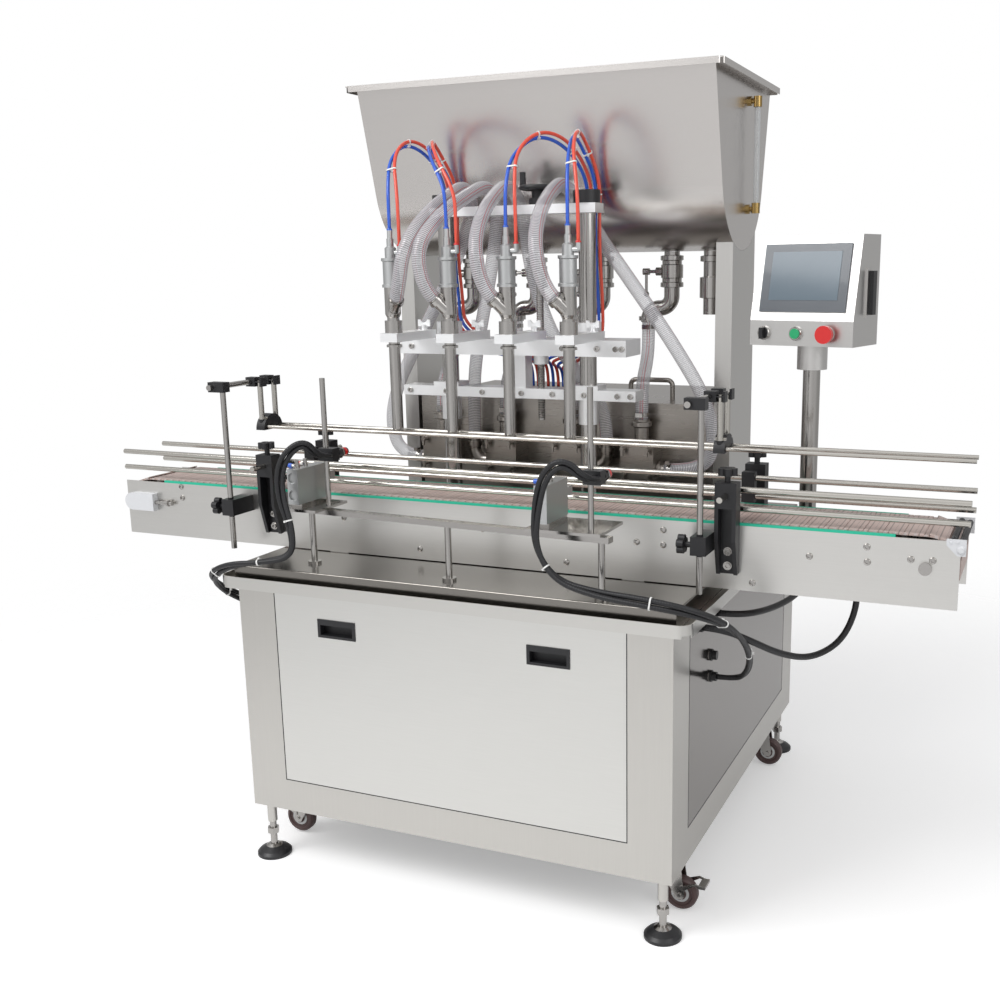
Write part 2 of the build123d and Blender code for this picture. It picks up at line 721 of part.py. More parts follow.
# Guide posts and the plate that ties their tops, with a black cap on each
post_x = (head_x - post_spacing / 2, head_x + post_spacing / 2)
plate_over = tie_z + tie_height
posts = []
for x in post_x:
    flange = bar_z(x, post_y, deck_top, deck_top + 12, 74)
    posts.append(flange + bar_z(x, post_y, deck_top, plate_over, guide_diameter))
save("guide_posts", *posts)
tie = block(
    (post_x[0] - 30, post_x[1] + 30), (post_y - 26, post_y + 26), (tie_z, plate_over)
)
for x in post_x:
    tie = tie - bar_z(x, post_y, tie_z - 1, plate_over + 1, guide_diameter + 2 * run_fit)
    tie = tie + bar_z(x, post_y, plate_over, plate_over + 29, 62)
bush_top = plate_over + 14
tie = tie + bar_z(screw_x, post_y, plate_over, bush_top, 44)
tie = tie - bar_z(screw_x, post_y, tie_z - 1, bush_top + 1, screw_diameter + 2 * run_fit)
save("top_plate", tie)

# Lift screw with its handwheel and crank grip
wheel_base = bush_top + seat_gap
screw_bottom = 1005.0
screw = bar_z(screw_x, post_y, screw_bottom, wheel_base, screw_diameter)
hub = bar_z(screw_x, post_y, wheel_base, wheel_base + 26, 30)
rim = Pos(screw_x, post_y, wheel_base + 24) * Torus(38, 6)
disc = bar_z(screw_x, post_y, wheel_base + 20, wheel_base + 26, 72)
for index in range(3):
    angle = math.radians(120 * index)
    disc = disc - bar_z(
        screw_x + 24 * math.cos(angle), post_y + 24 * math.sin(angle),
        wheel_base + 19, wheel_base + 27, 16,
    )
grip = bar_z(screw_x - 30, post_y - 18, wheel_base + 24, wheel_base + 58, 14)
collar = bar_z(screw_x, post_y, tie_z - 14, tie_z - seat_gap, 30)
save("lift_handwheel", fuse([screw, collar, hub, rim, disc, grip]))

# Nozzle rack: a cross bar and a lower plate that slide on the posts
nozzle_x = [head_x + (index - 1.5) * nozzle_pitch for index in range(4)]
bar_bottom = 1162.0
bar_top = 1199.0
arm_thick = 20.0
arm_over = bar_top + arm_thick
low_bottom = 1058.0
low_top = 1082.0
bush_low = 1000.0
post_bore = guide_diameter + 2 * run_fit
rack_bar = block((head_x - 298, head_x + 298), (post_y - 65, post_y + 35), (bar_bottom, bar_top))
low_plate = block((head_x - 300, head_x + 308), (post_y - 28, post_y + 28), (low_bottom, low_top))
web = block((head_x - 1, head_x + 29), (post_y - 20, post_y + 20), (low_top, bar_bottom))
rack = [rack_bar, low_plate, web]
for x in post_x:
    rack.append(bar_z(x, post_y, bar_top, bar_top + 37, 62))
    rack.append(bar_z(x, post_y, bush_low, low_bottom, 48))
    rack.append(block((x - 34, x + 34), (post_y - 28, post_y + 28), (low_top, low_top + 10)))
nut_bottom = bar_bottom - 24
rack.append(bar_z(screw_x, post_y, nut_bottom, bar_bottom, 36))
arm_front = nozzle_y - 25
arm_back = post_y - 42
for x in nozzle_x:
    rack.append(block((x - 22, x + 22), (arm_front, arm_back), (bar_top, arm_over)))
    rack.append(bar_z(x, arm_back - 18, arm_over, arm_over + 12, 14))
    wing = block((x - 16, x + 16), (arm_back - 20, arm_back - 16), (arm_over + 8, arm_over + 24))
    rack.append(wing - bar_y(x, arm_over + 26, arm_back - 30, arm_back, 18))
rack = fuse(rack)
for x in post_x:
    rack = rack - bar_z(x, post_y, bush_low - 1, bar_top + 40, post_bore)
rack = rack - bar_z(screw_x, post_y, low_bottom - 1, bar_top + 1, screw_diameter + 2 * run_fit)
for x in nozzle_x:
    rack = rack - bar_z(x, nozzle_y, bar_top - 1, arm_over + 1, nozzle_diameter + 2 * seat_gap)
save("nozzle_rack", rack)

# Nozzles: a tube through each arm, a nut on top of it and a branch that takes the hose
tip_bore = 14.0
bore = 20.0
nut_over = arm_over + 28
body_over = 1321.0
branch_base = nut_over + 18
branch_lean = 45.0
branch_length = 48.0
branch_side = (1, -1, -1, -1)
hose_starts = []
bodies = []
for x, side in zip(nozzle_x, branch_side):
    lean = Rot(0, 0, 45 if side > 0 else -45) * Rot(branch_lean, 0, 0)
    branch_at = Pos(x, nozzle_y, branch_base) * lean
    branch = branch_at * Pos(0, 0, branch_length / 2) * Cylinder(15, branch_length)
    clamp = branch_at * Pos(0, 0, branch_length - 8) * Cylinder(19, 10)
    hole = branch_at * Pos(0, 0, branch_length / 2 + 2) * Cylinder(bore / 2 - 2, branch_length)
    body = revolved((
        (tip_bore / 2, nozzle_tip), (nozzle_diameter / 2, nozzle_tip),
        (nozzle_diameter / 2, bar_top - 12), (18, bar_top - 12), (18, bar_top - 7),
        (nozzle_diameter / 2, bar_top - 5), (nozzle_diameter / 2, arm_over),
        (20, arm_over), (20, nut_over), (14, nut_over), (14, nut_over + 6), (18, nut_over + 14),
        (18, body_over), (bore / 2, body_over), (bore / 2, nozzle_tip + 10),
        (tip_bore / 2, nozzle_tip + 10),
    ), x, nozzle_y)
    shaft_bore = bar_z(x, nozzle_y, nozzle_tip + 10, body_over, bore)
    bodies.append(body + branch + clamp - hole - shaft_bore)
    end = branch_at * Pos(0, 0, branch_length)
    hose_starts.append(end)
save("nozzle_bodies", *bodies)

# Air actuators on the nozzles and the rods that open and shut the tips
actuator_bore = 30.0
actuator_over = 1386.0
actuator_tip = 1447.0
rod_diameter = 8.0
plug_diameter = tip_bore - 0.4
port_z = actuator_over + 12
port_reach = 24.0
port_diameter = 11.0
port_top = port_z + 14
actuators = []
rods = []
for x in nozzle_x:
    can = revolved((
        (rod_diameter / 2 + run_fit, body_over), (22, body_over), (22, body_over + 6),
        (19, body_over + 8), (19, actuator_over - 8), (22, actuator_over - 6), (22, actuator_over),
        (13, actuator_over), (13, port_z + 10), (8, port_z + 14), (8, actuator_tip - 19),
        (6, actuator_tip - 17), (6, actuator_tip), (2.5, actuator_tip), (2.5, actuator_over - 6),
        (actuator_bore / 2, actuator_over - 6),
        (actuator_bore / 2, body_over + 6), (rod_diameter / 2 + run_fit, body_over + 6),
    ), x, nozzle_y)
    arm = bar_x(nozzle_y, port_z, x + 12, x + port_reach, port_diameter)
    elbow = Pos(x + port_reach, nozzle_y, port_z) * Sphere(port_diameter / 2)
    riser = bar_z(x + port_reach, nozzle_y, port_z, port_top, port_diameter)
    actuators.append(fuse([can, arm, elbow, riser]))
    rods.append(revolved((
        (0, nozzle_tip + 1), (plug_diameter / 2, nozzle_tip + 1), (plug_diameter / 2, nozzle_tip + 9),
        (rod_diameter / 2, nozzle_tip + 14), (rod_diameter / 2, body_over + 12),
        (actuator_bore / 2 - run_fit, body_over + 12), (actuator_bore / 2 - run_fit, body_over + 24),
        (0, body_over + 24),
    ), x, nozzle_y))
save("nozzle_actuators", *actuators)
save("nozzle_rods", *rods)

# Metering pumps: a valve block and a cylinder each, along the back of the posts
pump_x = [head_x + (index - 1.5) * pump_pitch for index in range(4)]
housing_front = pump_y + pump_depth
block_bottom = 859.0
block_top = 944.0
port_y = pump_y + pump_depth / 2
outlet_z = 880.0
inlet_top = 1000.0
bore_end = 285.0
port_bore = 26.0
spigot_diameter = 30.0
elbow_top = 935.0
gap_x = pump_pitch / 2
pumps = []
for index, x in enumerate(pump_x):
    side = -1 if index < 2 else 1
    middle = index in (1, 2)
    valve = block((x - pump_width / 2, x + pump_width / 2), (pump_y, housing_front), (block_bottom, block_top))
    cylinder = bar_y(x, pump_axis, housing_front, bore_end, pump_bore + 2 * pump_wall)
    inlet = revolved((
        (0, block_top), (17, block_top), (17, inlet_top - 20), (24, inlet_top - 16),
        (24, inlet_top - 6), (19, inlet_top - 4), (19, inlet_top), (0, inlet_top),
    ), x, port_y)
    piece = fuse([valve, cylinder, inlet])
    if middle:
        path = FilletPolyline(
            (x + side * (pump_width / 2 - 1), port_y, outlet_z),
            (x + side * gap_x, port_y, outlet_z),
            (x + side * gap_x, port_y, elbow_top),
            radius=30,
        )
        elbow = sweep(Plane(origin=path @ 0, z_dir=path % 0) * Circle(spigot_diameter / 2), path=path)
        ferrule = bar_z(x + side * gap_x, port_y, elbow_top - 18, elbow_top - 8, 38)
        piece = fuse([piece, elbow, ferrule])
    else:
        reach = sorted((x + side * (pump_width / 2 - 1), x + side * (pump_width / 2 + 19)))
        flange = sorted((x + side * (pump_width / 2 + 2), x + side * (pump_width / 2 + 10)))
        piece = fuse([piece, bar_x(port_y, outlet_z, *reach, spigot_diameter), bar_x(port_y, outlet_z, *flange, 38)])
    piece = piece - bar_z(x, port_y, outlet_z, inlet_top + 1, port_bore)
    piece = piece - bar_x(port_y, outlet_z, *sorted((x, x + side * pump_width / 2)), port_bore - 6)
    piece = piece - bar_y(x, pump_axis, port_y, housing_front, port_bore)
    piece = piece - bar_y(x, pump_axis, housing_front - 12, bore_end + 1, pump_bore)
    for dx in (-1, 1):
        for z in (block_bottom + 11, block_top - 11):
            knob = bar_y(x + dx * 31, z, pump_y - 20, pump_y, 10)
            lever = block((x + dx * 31 - 3, x + dx * 31 + 3), (pump_y - 20, pump_y - 14), (z - 15, z + 15))
            piece = fuse([piece, knob, lever])
    pumps.append(piece)
save("metering_pumps", *pumps)

# Pistons of the pumps, all pushed by one plate on a nut
piston_y = housing_front - 8
push_y = bore_end + 5
push_thick = 14.0
nut_length = 30.0
nut_diameter = 40.0
drive_screw = 20.0
piston_length = 30.0
piston_rod = 22.0
nut_end = push_y + push_thick + nut_length
push = block(
    (pump_x[0] - 26, pump_x[3] + 26), (push_y, push_y + push_thick), (pump_axis - 24, pump_axis + 24)
)
push = push + bar_y(head_x, pump_axis, push_y + push_thick, nut_end, nut_diameter)
push = push - bar_y(head_x, pump_axis, push_y - 1, nut_end + 1, drive_screw + 2 * run_fit)
for x in pump_x:
    piston = bar_y(x, pump_axis, piston_y, piston_y + piston_length, pump_bore - 2 * run_fit)
    push = push + piston + bar_y(x, pump_axis, piston_y + piston_length, push_y, piston_rod)
save("metering_pistons", push)

# Housing over the cylinders, with a handle and the air manifold on top
housing = block((housing_left, housing_right), (housing_front, housing_back), (deck_top, housing_top))
inside = block(
    (housing_left + housing_sheet, housing_right - housing_sheet),
    (housing_front + housing_sheet, housing_back - housing_sheet),
    (deck_top - 1, housing_top - housing_sheet),
)
housing = housing - inside
for x in pump_x:
    housing = housing - bar_y(
        x, pump_axis, housing_front - 1, housing_front + 3, pump_bore + 2 * pump_wall + 2 * seat_gap
    )
manifold_y = housing_front + 40
manifold_top = housing_top + 30
manifold_x = (head_x - 80, head_x + 80)
housing = housing + block(manifold_x, (manifold_y - 15, manifold_y + 15), (housing_top, manifold_top))
bow_x = 205.0
bow = FilletPolyline(
    (bow_x - 55, housing_front + 90, housing_top),
    (bow_x - 55, housing_front + 90, housing_top + 48),
    (bow_x + 55, housing_front + 90, housing_top + 48),
    (bow_x + 55, housing_front + 90, housing_top),
    radius=14,
)
housing = housing + sweep(Plane(origin=bow @ 0, z_dir=bow % 0) * Circle(6), path=bow)
save("pump_housing", housing)

# Servo drive of the pistons: motor on a standing plate, screw and front bearing
motor_plate_y = nut_end + piston_stroke + 4
plate = block((head_x - 80, head_x + 80), (motor_plate_y, motor_plate_y + 12), (deck_top, pump_axis + 60))
motor = block((head_x - 40, head_x + 40), (motor_plate_y + 12, housing_back - 8), (pump_axis - 40, pump_axis + 40))
bearing_y = (housing_front + housing_sheet, housing_front + 26)
bearing = block((head_x - 22, head_x + 22), bearing_y, (deck_top, pump_axis + 22))
spindle = bar_y(head_x, pump_axis, housing_front + 10, motor_plate_y + 12, drive_screw)
save("pump_drive", fuse([plate, motor, bearing, spindle]))

# Hopper: a trough with a round bottom and leaning sides
hopper_left = hopper_x - hopper_half
hopper_right = hopper_x + hopper_half
arc_z = hopper_bottom + hopper_radius
lean = math.radians(hopper_taper)


def trough(inset, x0, x1, z_top):
    """A prism with the hopper's section, its walls moved inwards by the inset."""
    radius = hopper_radius - inset
    tangent_y = radius * math.cos(lean)
    tangent_z = arc_z - radius * math.sin(lean)
    top_y = tangent_y + (z_top - tangent_z) * math.tan(lean)
    right_side = Line((hopper_y + tangent_y, tangent_z), (hopper_y + top_y, z_top))
    left_side = Line((hopper_y - top_y, z_top), (hopper_y - tangent_y, tangent_z))
    top = Line((hopper_y + top_y, z_top), (hopper_y - top_y, z_top))
    floor = ThreePointArc(
        (hopper_y - tangent_y, tangent_z), (hopper_y, arc_z - radius), (hopper_y + tangent_y, tangent_z)
    )
    outline = make_face(Plane.YZ * Wire([right_side, top, left_side, floor]))
    return Pos(x0, 0, 0) * extrude(outline, x1 - x0, dir=(1, 0, 0))


top_half = hopper_radius * math.cos(lean) + (
    hopper_top - arc_z + hopper_radius * math.sin(lean)
) * math.tan(lean)
shell = trough(0, hopper_left, hopper_right, hopper_top)
rim_x = (hopper_left - rim_width, hopper_right + rim_width)
rim_y = (hopper_y - top_half - rim_width, hopper_y + top_half + rim_width)
rim = block(rim_x, rim_y, (hopper_top - 2, hopper_top + rim_height))
rim = chamfer(rim.edges().filter_by(Axis.Z), 10)
rim = rim - block(
    (hopper_left - rim_width + 2, hopper_right + rim_width - 2), (rim_y[0] + 2, rim_y[1] - 2),
    (hopper_top - 3, hopper_top + rim_height - 2),
)
flange = block(
    (hopper_left - rim_width + 2, hopper_right + rim_width - 2), (rim_y[0] + 2, rim_y[1] - 2),
    (hopper_top + rim_height - 3, hopper_top + rim_height),
)
shell_top = hopper_top + rim_height
shell = trough(0, hopper_left, hopper_right, shell_top) + rim + flange
shell = shell - trough(hopper_wall, hopper_left + hopper_wall, hopper_right - hopper_wall, shell_top + 1)
outlet_x = [hopper_x + (index - 1.5) * outlet_pitch for index in range(4)]
drain_x = hopper_x + 371
for x in outlet_x + [drain_x]:
    shell = shell - bar_z(x, hopper_y, hopper_bottom - 5, hopper_bottom + 10, outlet_bore)
save("hopper", shell)

# Columns that carry the hopper, cut to its curve
columns = []
outer_trough = trough(-seat_gap, hopper_left - 1, hopper_right + 1, hopper_top)
for x0 in (hopper_left, hopper_right - column_width):
    column = block((x0, x0 + column_width), (column_front, column_back), (deck_top, hopper_bottom + 50))
    core = block(
        (x0 + 2, x0 + column_width - 2), (column_front + 2, column_back - 2),
        (deck_top + 2, hopper_bottom - 10),
    )
    base = block((x0 - 14, x0 + column_width + 14), (column_front - 14, column_back + 14), (deck_top, deck_top + 8))
    columns.append(column - outer_trough - core + (base - core))
save("hopper_columns", *columns)

# Level gauge: two brass fittings on the end plate and a clear tube between them
gauge_y = hopper_y + 43
gauge_low = 1491.0
gauge_high = 1736.0
gauge_x = hopper_right + 20
gauge_tube = 14.0
fittings = []
for z, inward in ((gauge_low, 1), (gauge_high, -1)):
    nipple = bar_x(gauge_y, z, hopper_right, gauge_x, 12)
    nut = bar_x(gauge_y, z, hopper_right, hopper_right + 6, 22)
    body_z = sorted((z - inward * 10, z + inward * 14))
    body = bar_z(gauge_x, gauge_y, *body_z, 20)
    socket = sorted((z + inward * 4, z + inward * 15))
    body = body - bar_z(gauge_x, gauge_y, *socket, gauge_tube + 2 * run_fit)
    fittings.append(fuse([body, nipple, nut]) - bar_z(gauge_x, gauge_y, *socket, gauge_tube + 2 * run_fit))
save("level_gauge_fittings", *fittings)
gauge = bar_z(gauge_x, gauge_y, gauge_low + 4.2, gauge_high - 4.2, gauge_tube)
gauge = gauge - bar_z(gauge_x, gauge_y, gauge_low, gauge_high, gauge_tube - 3)
save("level_gauge_tube", gauge)

# Outlets under the hopper: a stop valve and an S-shaped pipe each, and a drain at the end
pipe_top = hopper_bottom
valve_z = hopper_bottom - 47
bend_top = hopper_bottom - 105
bend = 30.0
hose_drop = bend_top - 2 * bend - 4
stem_diameter_valve = 8.0
outlets = []
for x in outlet_x:
    stack = revolved((
        (0, pipe_top), (19, pipe_top), (19, hopper_bottom - 8), (28, hopper_bottom - 10),
        (28, hopper_bottom - 20), (24, hopper_bottom - 22), (24, hopper_bottom - 30),
        (27, hopper_bottom - 32), (27, hopper_bottom - 62), (24, hopper_bottom - 64),
        (24, hopper_bottom - 72), (28, hopper_bottom - 74), (28, hopper_bottom - 84),
        (19, hopper_bottom - 86), (19, bend_top), (0, bend_top),
    ), x, hopper_y)
    path = FilletPolyline(
        (x, hopper_y, bend_top + 1), (x, hopper_y, bend_top - bend),
        (x - 2 * bend, hopper_y, bend_top - bend), (x - 2 * bend, hopper_y, hose_drop),
        radius=bend - 1,
    )
    pipe = sweep(Plane(origin=path @ 0, z_dir=path % 0) * Circle(outlet_pipe / 2), path=path)
    ferrule = bar_z(x - 2 * bend, hopper_y, hose_drop + 4, hose_drop + 14, 48)
    piece = fuse([stack, pipe, ferrule])
    piece = piece - bar_z(x, hopper_y, bend_top, pipe_top + 1, outlet_bore)
    bonnet = bar_x(hopper_y, valve_z, x - 40, x - 20, 20)
    piece = piece + (bonnet - bar_z(x, hopper_y, valve_z - 12, valve_z + 12, outlet_bore))
    piece = piece - bar_x(hopper_y, valve_z, x - 41, x - 26, stem_diameter_valve + 2 * run_fit)
    outlets.append(piece)
drain = revolved((
    (0, pipe_top), (19, pipe_top), (19, hopper_bottom - 10), (27, hopper_bottom - 12),
    (27, hopper_bottom - 24), (19, hopper_bottom - 26), (19, hopper_bottom - 60),
    (28, hopper_bottom - 62), (28, hopper_bottom - 110), (19, hopper_bottom - 112),
    (19, hopper_bottom - 150), (0, hopper_bottom - 150),
), drain_x, hopper_y)
outlets.append(drain - bar_z(drain_x, hopper_y, hopper_bottom - 151, pipe_top + 1, outlet_bore - 4))
save("hopper_outlets", *outlets)

# Levers of the stop valves: a stem along X and a handle that hangs down
for number, x in enumerate(outlet_x, start=1):
    stem = bar_x(hopper_y, valve_z, x - 70, x - 26.5, stem_diameter_valve)
    hub = bar_x(hopper_y, valve_z, x - 74, x - 58, 16)
    handle = bar_z(x - 66, hopper_y, valve_z - 52, valve_z, 7)
    tip = Pos(x - 66, hopper_y, valve_z - 54) * Sphere(7)
    save(f"outlet_lever_{number}", fuse([stem, hub, handle, tip]))

# Bar on posts in front of the conveyor, with a shelf for each stop cylinder
beam_start = beam_posts[0]
beam_end = beam_posts[-1]
beam_run = math.hypot(beam_end[0] - beam_start[0], beam_end[1] - beam_start[1])
beam_angle = math.degrees(math.atan2(beam_end[1] - beam_start[1], beam_end[0] - beam_start[0]))
beam_centre = ((beam_start[0] + beam_end[0]) / 2, (beam_start[1] + beam_end[1]) / 2)
beam = Pos(*beam_centre, beam_z) * Rot(0, 0, beam_angle) * Box(beam_run + 40, 22, beam_thick)
shelf_z = (beam_z + beam_thick / 2, beam_z + beam_thick / 2 + 6)
shelves = [
    block((stop_x[0] - 30, stop_x[0] + 62), (-530, -405), shelf_z),
    block((stop_x[1] - 30, stop_x[1] + 134), (-535, -405), shelf_z),
]
mount = fuse([beam] + shelves)
for x, y in beam_posts:
    mount = mount + bar_z(x, y, deck_top, beam_z, 14) + bar_z(x, y, deck_top, deck_top + 6, 30)
for x in stop_x:
    mount = mount + block((x - 14, x + 14), (stop_front + 10, stop_back - 4), (shelf_z[1], stop_low))
for x, y, top in sensor_rods:
    mount = mount + bar_z(x, y, shelf_z[1], top, 12)
save("stop_mounts", mount)

# Stop cylinders and the photo sensors beside them
sensor_reach = 36.0
units = []
for x, (rod_x, rod_y, rod_top) in zip(stop_x, sensor_rods):
    body = block((x - stop_width / 2, x + stop_width / 2), (stop_front, stop_back), (stop_low, stop_high))
    for z in (stop_low + 20, stop_high - 20):
        body = body - bar_y(x, z, stop_front - 1, stop_front + 5, 24)
        body = body - bar_y(x, z, stop_back - 60, stop_back + 1, 10 + 2 * run_fit)
    units.append(body)
    clamp = block((rod_x - 12, rod_x + 26), (rod_y - 14, rod_y + 14), (sensor_z - 14, sensor_z + 14))
    clamp = clamp - bar_z(rod_x, rod_y, sensor_z - 15, sensor_z + 15, 12)
    eye = bar_y(rod_x + 18, sensor_z, rod_y + 14, rod_y + 14 + sensor_reach, 18)
    units.append(clamp + eye)
save("stop_cylinders", *units)

# Stop gates: a finger on two rods that reaches between the front guide rails
gate_z = (rail_low + rail_high) / 2
for name, x in (("left", stop_x[0]), ("right", stop_x[1])):
    pins = [bar_y(x, z, stop_back - 58, stop_back + 3, 10) for z in (stop_low + 20, stop_high - 20)]
    yoke = block((x - 11, x + 11), (stop_back + 1, stop_back + 7), (stop_low + 8, stop_high - 8))
    finger = block((x - 5, x + 5), (stop_back + 7, front_rail_y - 14), (gate_z - 9, gate_z + 9))
    save("stop_gate_" + name, fuse(pins + [yoke, finger]))

# Pole of the operator's panel on an arm from the deck
arm_z = (deck_top + 10, deck_top + 50)
arm = block((424, pole_x + 24), (pole_y - 20, pole_y + 20), arm_z)
arm_base = block((400, 505), (pole_y - 45, pole_y + 45), (deck_top, deck_top + 10))
pole = bar_z(pole_x, pole_y, arm_z[1] - 1, box_bottom - seat_gap, pole_diameter)
foot_ring = bar_z(pole_x, pole_y, arm_z[1], arm_z[1] + 10, 60)
save("control_pole", fuse([arm, arm_base, pole, foot_ring]))

# Operator's panel box: turned on the pole, with a leaning face for the screen
box_depth = box_lean + box_top_depth
on_pole = Pos(pole_x, pole_y, box_bottom) * Rot(0, 0, box_turn) * Pos(-box_width / 2, -box_depth / 2, 0)


def box_prism(inset):
    outline = (
        (inset, inset), (inset, box_step), (box_lean + inset, box_height - inset),
        (box_depth - inset, box_height - inset), (box_depth - inset, inset),
    )
    return along_x(outline, inset, box_width - inset)


case = box_prism(0) - box_prism(box_sheet)
face_lean = math.degrees(math.atan2(box_lean, box_height - box_step))
face_centre = (box_step + box_height) / 2
on_face = Pos(box_width / 2, box_lean / 2, face_centre) * Rot(-face_lean, 0, 0)
cutout_width = screen_width - 12
cutout_height = screen_height - 12
case = case - on_face * Box(cutout_width, 12, cutout_height)
button_x = (35.0, 111.0, 184.0)
button_z = 27.0
button_bore = 22.0
for x in button_x:
    case = case + bar_y(x, button_z, -3, 0.5, 30)
    case = case - bar_y(x, button_z, -4, box_sheet + 1, button_bore)
lock_z = (60.0, 164.0)
lock_y = (58.0, 92.0)
case = case + block((box_width - 0.5, box_width + 4), lock_y, lock_z)
lock_pivot = (75.0, 148.0)
case = case - bar_x(*lock_pivot, box_width - box_sheet - 1, box_width + 5, 12 + 2 * run_fit)
socket = bar_z(box_width / 2, box_depth / 2, -54, 0.5, 66)
socket = socket - bar_z(box_width / 2, box_depth / 2, -55, 0, pole_diameter + 2 * run_fit)
save("control_box", on_pole * (case + socket))

screen = on_face * Pos(0, -2, 0) * Box(screen_width, 4, screen_height)
screen_body = on_face * Pos(0, 14, 0) * Box(cutout_width - 2 * seat_gap, 28, cutout_height - 2 * seat_gap)
save("hmi_screen", on_pole * (screen + screen_body))

stem_fit = button_bore - 2 * run_fit
selector = bar_y(button_x[0], button_z, -8, 30, stem_fit)
selector = selector + block((button_x[0] - 4, button_x[0] + 4), (-20, -8), (button_z - 12, button_z + 12))
save("selector_switch", on_pole * selector)
start = bar_y(button_x[1], button_z, -10, 24, stem_fit)
save("start_button", on_pole * start)
stop = bar_y(button_x[2], button_z, -14, 24, stem_fit) + bar_y(button_x[2], button_z, -24, -14, 38)
save("stop_button", on_pole * stop)
lock = bar_x(*lock_pivot, box_width - 12, box_width + 8, 12)
lock = lock + block(
    (box_width + 4 + seat_gap, box_width + 14), (lock_y[0] + 8, lock_y[1] - 8), (lock_z[0] + 6, lock_z[1] - 6)
)
save("door_lock", on_pole * lock)

# Feed hoses from the pumps over the tie plate to the nozzles
ends = [(pump_x[0] - pump_width / 2 - 19, port_y, outlet_z), (pump_x[1] - gap_x, port_y, elbow_top)]
ends += [(pump_x[2] + gap_x, port_y, elbow_top), (pump_x[3] + pump_width / 2 + 19, port_y, outlet_z)]
feed_middle = (
    (
        (-208, -306, 1410), (-192, -235, 1478), (-178, -155, 1522), (-170, -78, 1552), (-182, -12, 1508),
        (-222, 0, 1420), (-275, 12, 1330), (-332, 20, 1240), (-390, 26, 1150), (-446, 32, 1058),
        (-474, 42, 965), (-452, port_y, outlet_z),
    ),
    (
        (-176, -306, 1410), (-152, -235, 1478), (-128, -155, 1522), (-112, -78, 1552), (-116, -12, 1508),
        (-134, -4, 1405), (-160, 8, 1310), (-190, 22, 1215), (-218, 40, 1120), (pump_x[1] - gap_x, port_y, 1030),
    ),
    (
        (-34, -306, 1410), (-48, -235, 1478), (-56, -155, 1522), (-60, -78, 1552), (-54, -12, 1508),
        (-46, -4, 1405), (-28, 0, 1310), (4, 2, 1220), (52, 4, 1140), (100, 16, 1075),
        (pump_x[2] + gap_x, port_y, 1010),
    ),
    (
        (108, -306, 1410), (90, -235, 1478), (80, -155, 1522), (78, -78, 1552), (92, -12, 1508),
        (145, -2, 1420), (205, 10, 1335), (268, 20, 1245), (328, 28, 1155), (384, 34, 1062),
        (410, 44, 965), (384, port_y, outlet_z),
    ),
)
feed = []
for number, (start_at, middle, end) in enumerate(zip(hose_starts, feed_middle, ends), start=1):
    first = start_at.position
    second = (start_at * Pos(0, 0, 34)).position
    points = [tuple(first), tuple(second), *middle, end]
    feed.append(cord(f"feed hose {number}", points, hose_diameter))
save("feed_hoses", *feed)

# Hoses from the hopper's outlets down to the pumps
inlet = []
for number, (x_top, x_low) in enumerate(zip(outlet_x, pump_x), start=1):
    x_top = x_top - 2 * bend
    drop = hose_drop - inlet_top
    side = port_y - hopper_y
    points = [
        (x_top, hopper_y, hose_drop),
        (x_top, hopper_y, hose_drop - 0.2 * drop),
        (x_top + 0.2 * (x_low - x_top), hopper_y + 0.19 * side, hose_drop - 0.4 * drop),
        (x_low - 0.2 * (x_low - x_top), hopper_y + 0.81 * side, hose_drop - 0.6 * drop),
        (x_low, port_y, hose_drop - 0.8 * drop),
        (x_low, port_y, inlet_top),
    ]
    inlet.append(cord(f"inlet hose {number}", points, hose_diameter))
save("inlet_hoses", *inlet)

# Air tubes: two to each nozzle, in two arches that come down behind the tie plate
lane_pitch = 10.0
arches = (
    ((-285, -222, 1604), (-284, -150, 1646), (-262, -82, 1622)),
    ((-168, -236, 1592), (-218, -165, 1640), (-240, -92, 1622)),
    ((22, -225, 1600), (52, -155, 1648), (96, -90, 1625)),
    ((154, -222, 1604), (136, -150, 1646), (130, -86, 1622)),
)
lanes = (-248, -228, 120, 140)
behind = ((-27, 1556), (-32, 1470), (-31, 1375), (-16, 1290))
cross_y = (4, 4, 50, 50)
fan = 6.0       # how much each tube lies above the next where they cross to the manifold
air = []
for index, (x, arch, lane) in enumerate(zip(nozzle_x, arches, lanes)):
    for twin in (0, 1):
        shift = twin * lane_pitch
        if twin == 0:
            lean_x = x + 0.15 * (arch[0][0] - x)
            rise = [(x, nozzle_y, actuator_tip), (x, nozzle_y, 1490), (lean_x, nozzle_y + 5, 1540)]
        else:
            port_x = x + port_reach
            rise = [(port_x, nozzle_y, port_top), (port_x, nozzle_y, 1462), (port_x - 4, nozzle_y + 5, 1526)]
        over = [(px + shift, py, pz + shift) for px, py, pz in arch]
        order = 2 * index + twin
        land_x = head_x + (order - 3.5) * 14
        fan_z = fan * order if index < 2 else -fan * (order - 4)
        low_z = min(fan_z, 0)
        down = [(lane + shift, py, pz) for py, pz in behind]
        down.append((lane + shift, -12, 1210 + fan_z))
        land = [
            ((lane + shift + land_x) / 2, cross_y[index], 1160 + fan_z), (land_x, 78, 1138 + low_z),
            (land_x, manifold_y, 1118 + low_z), (land_x, manifold_y, manifold_top),
        ]
        air.append(cord(f"air tube {index + 1}{'ab'[twin]}", rise + over + down + land, air_diameter))
save("air_tubes", *air)

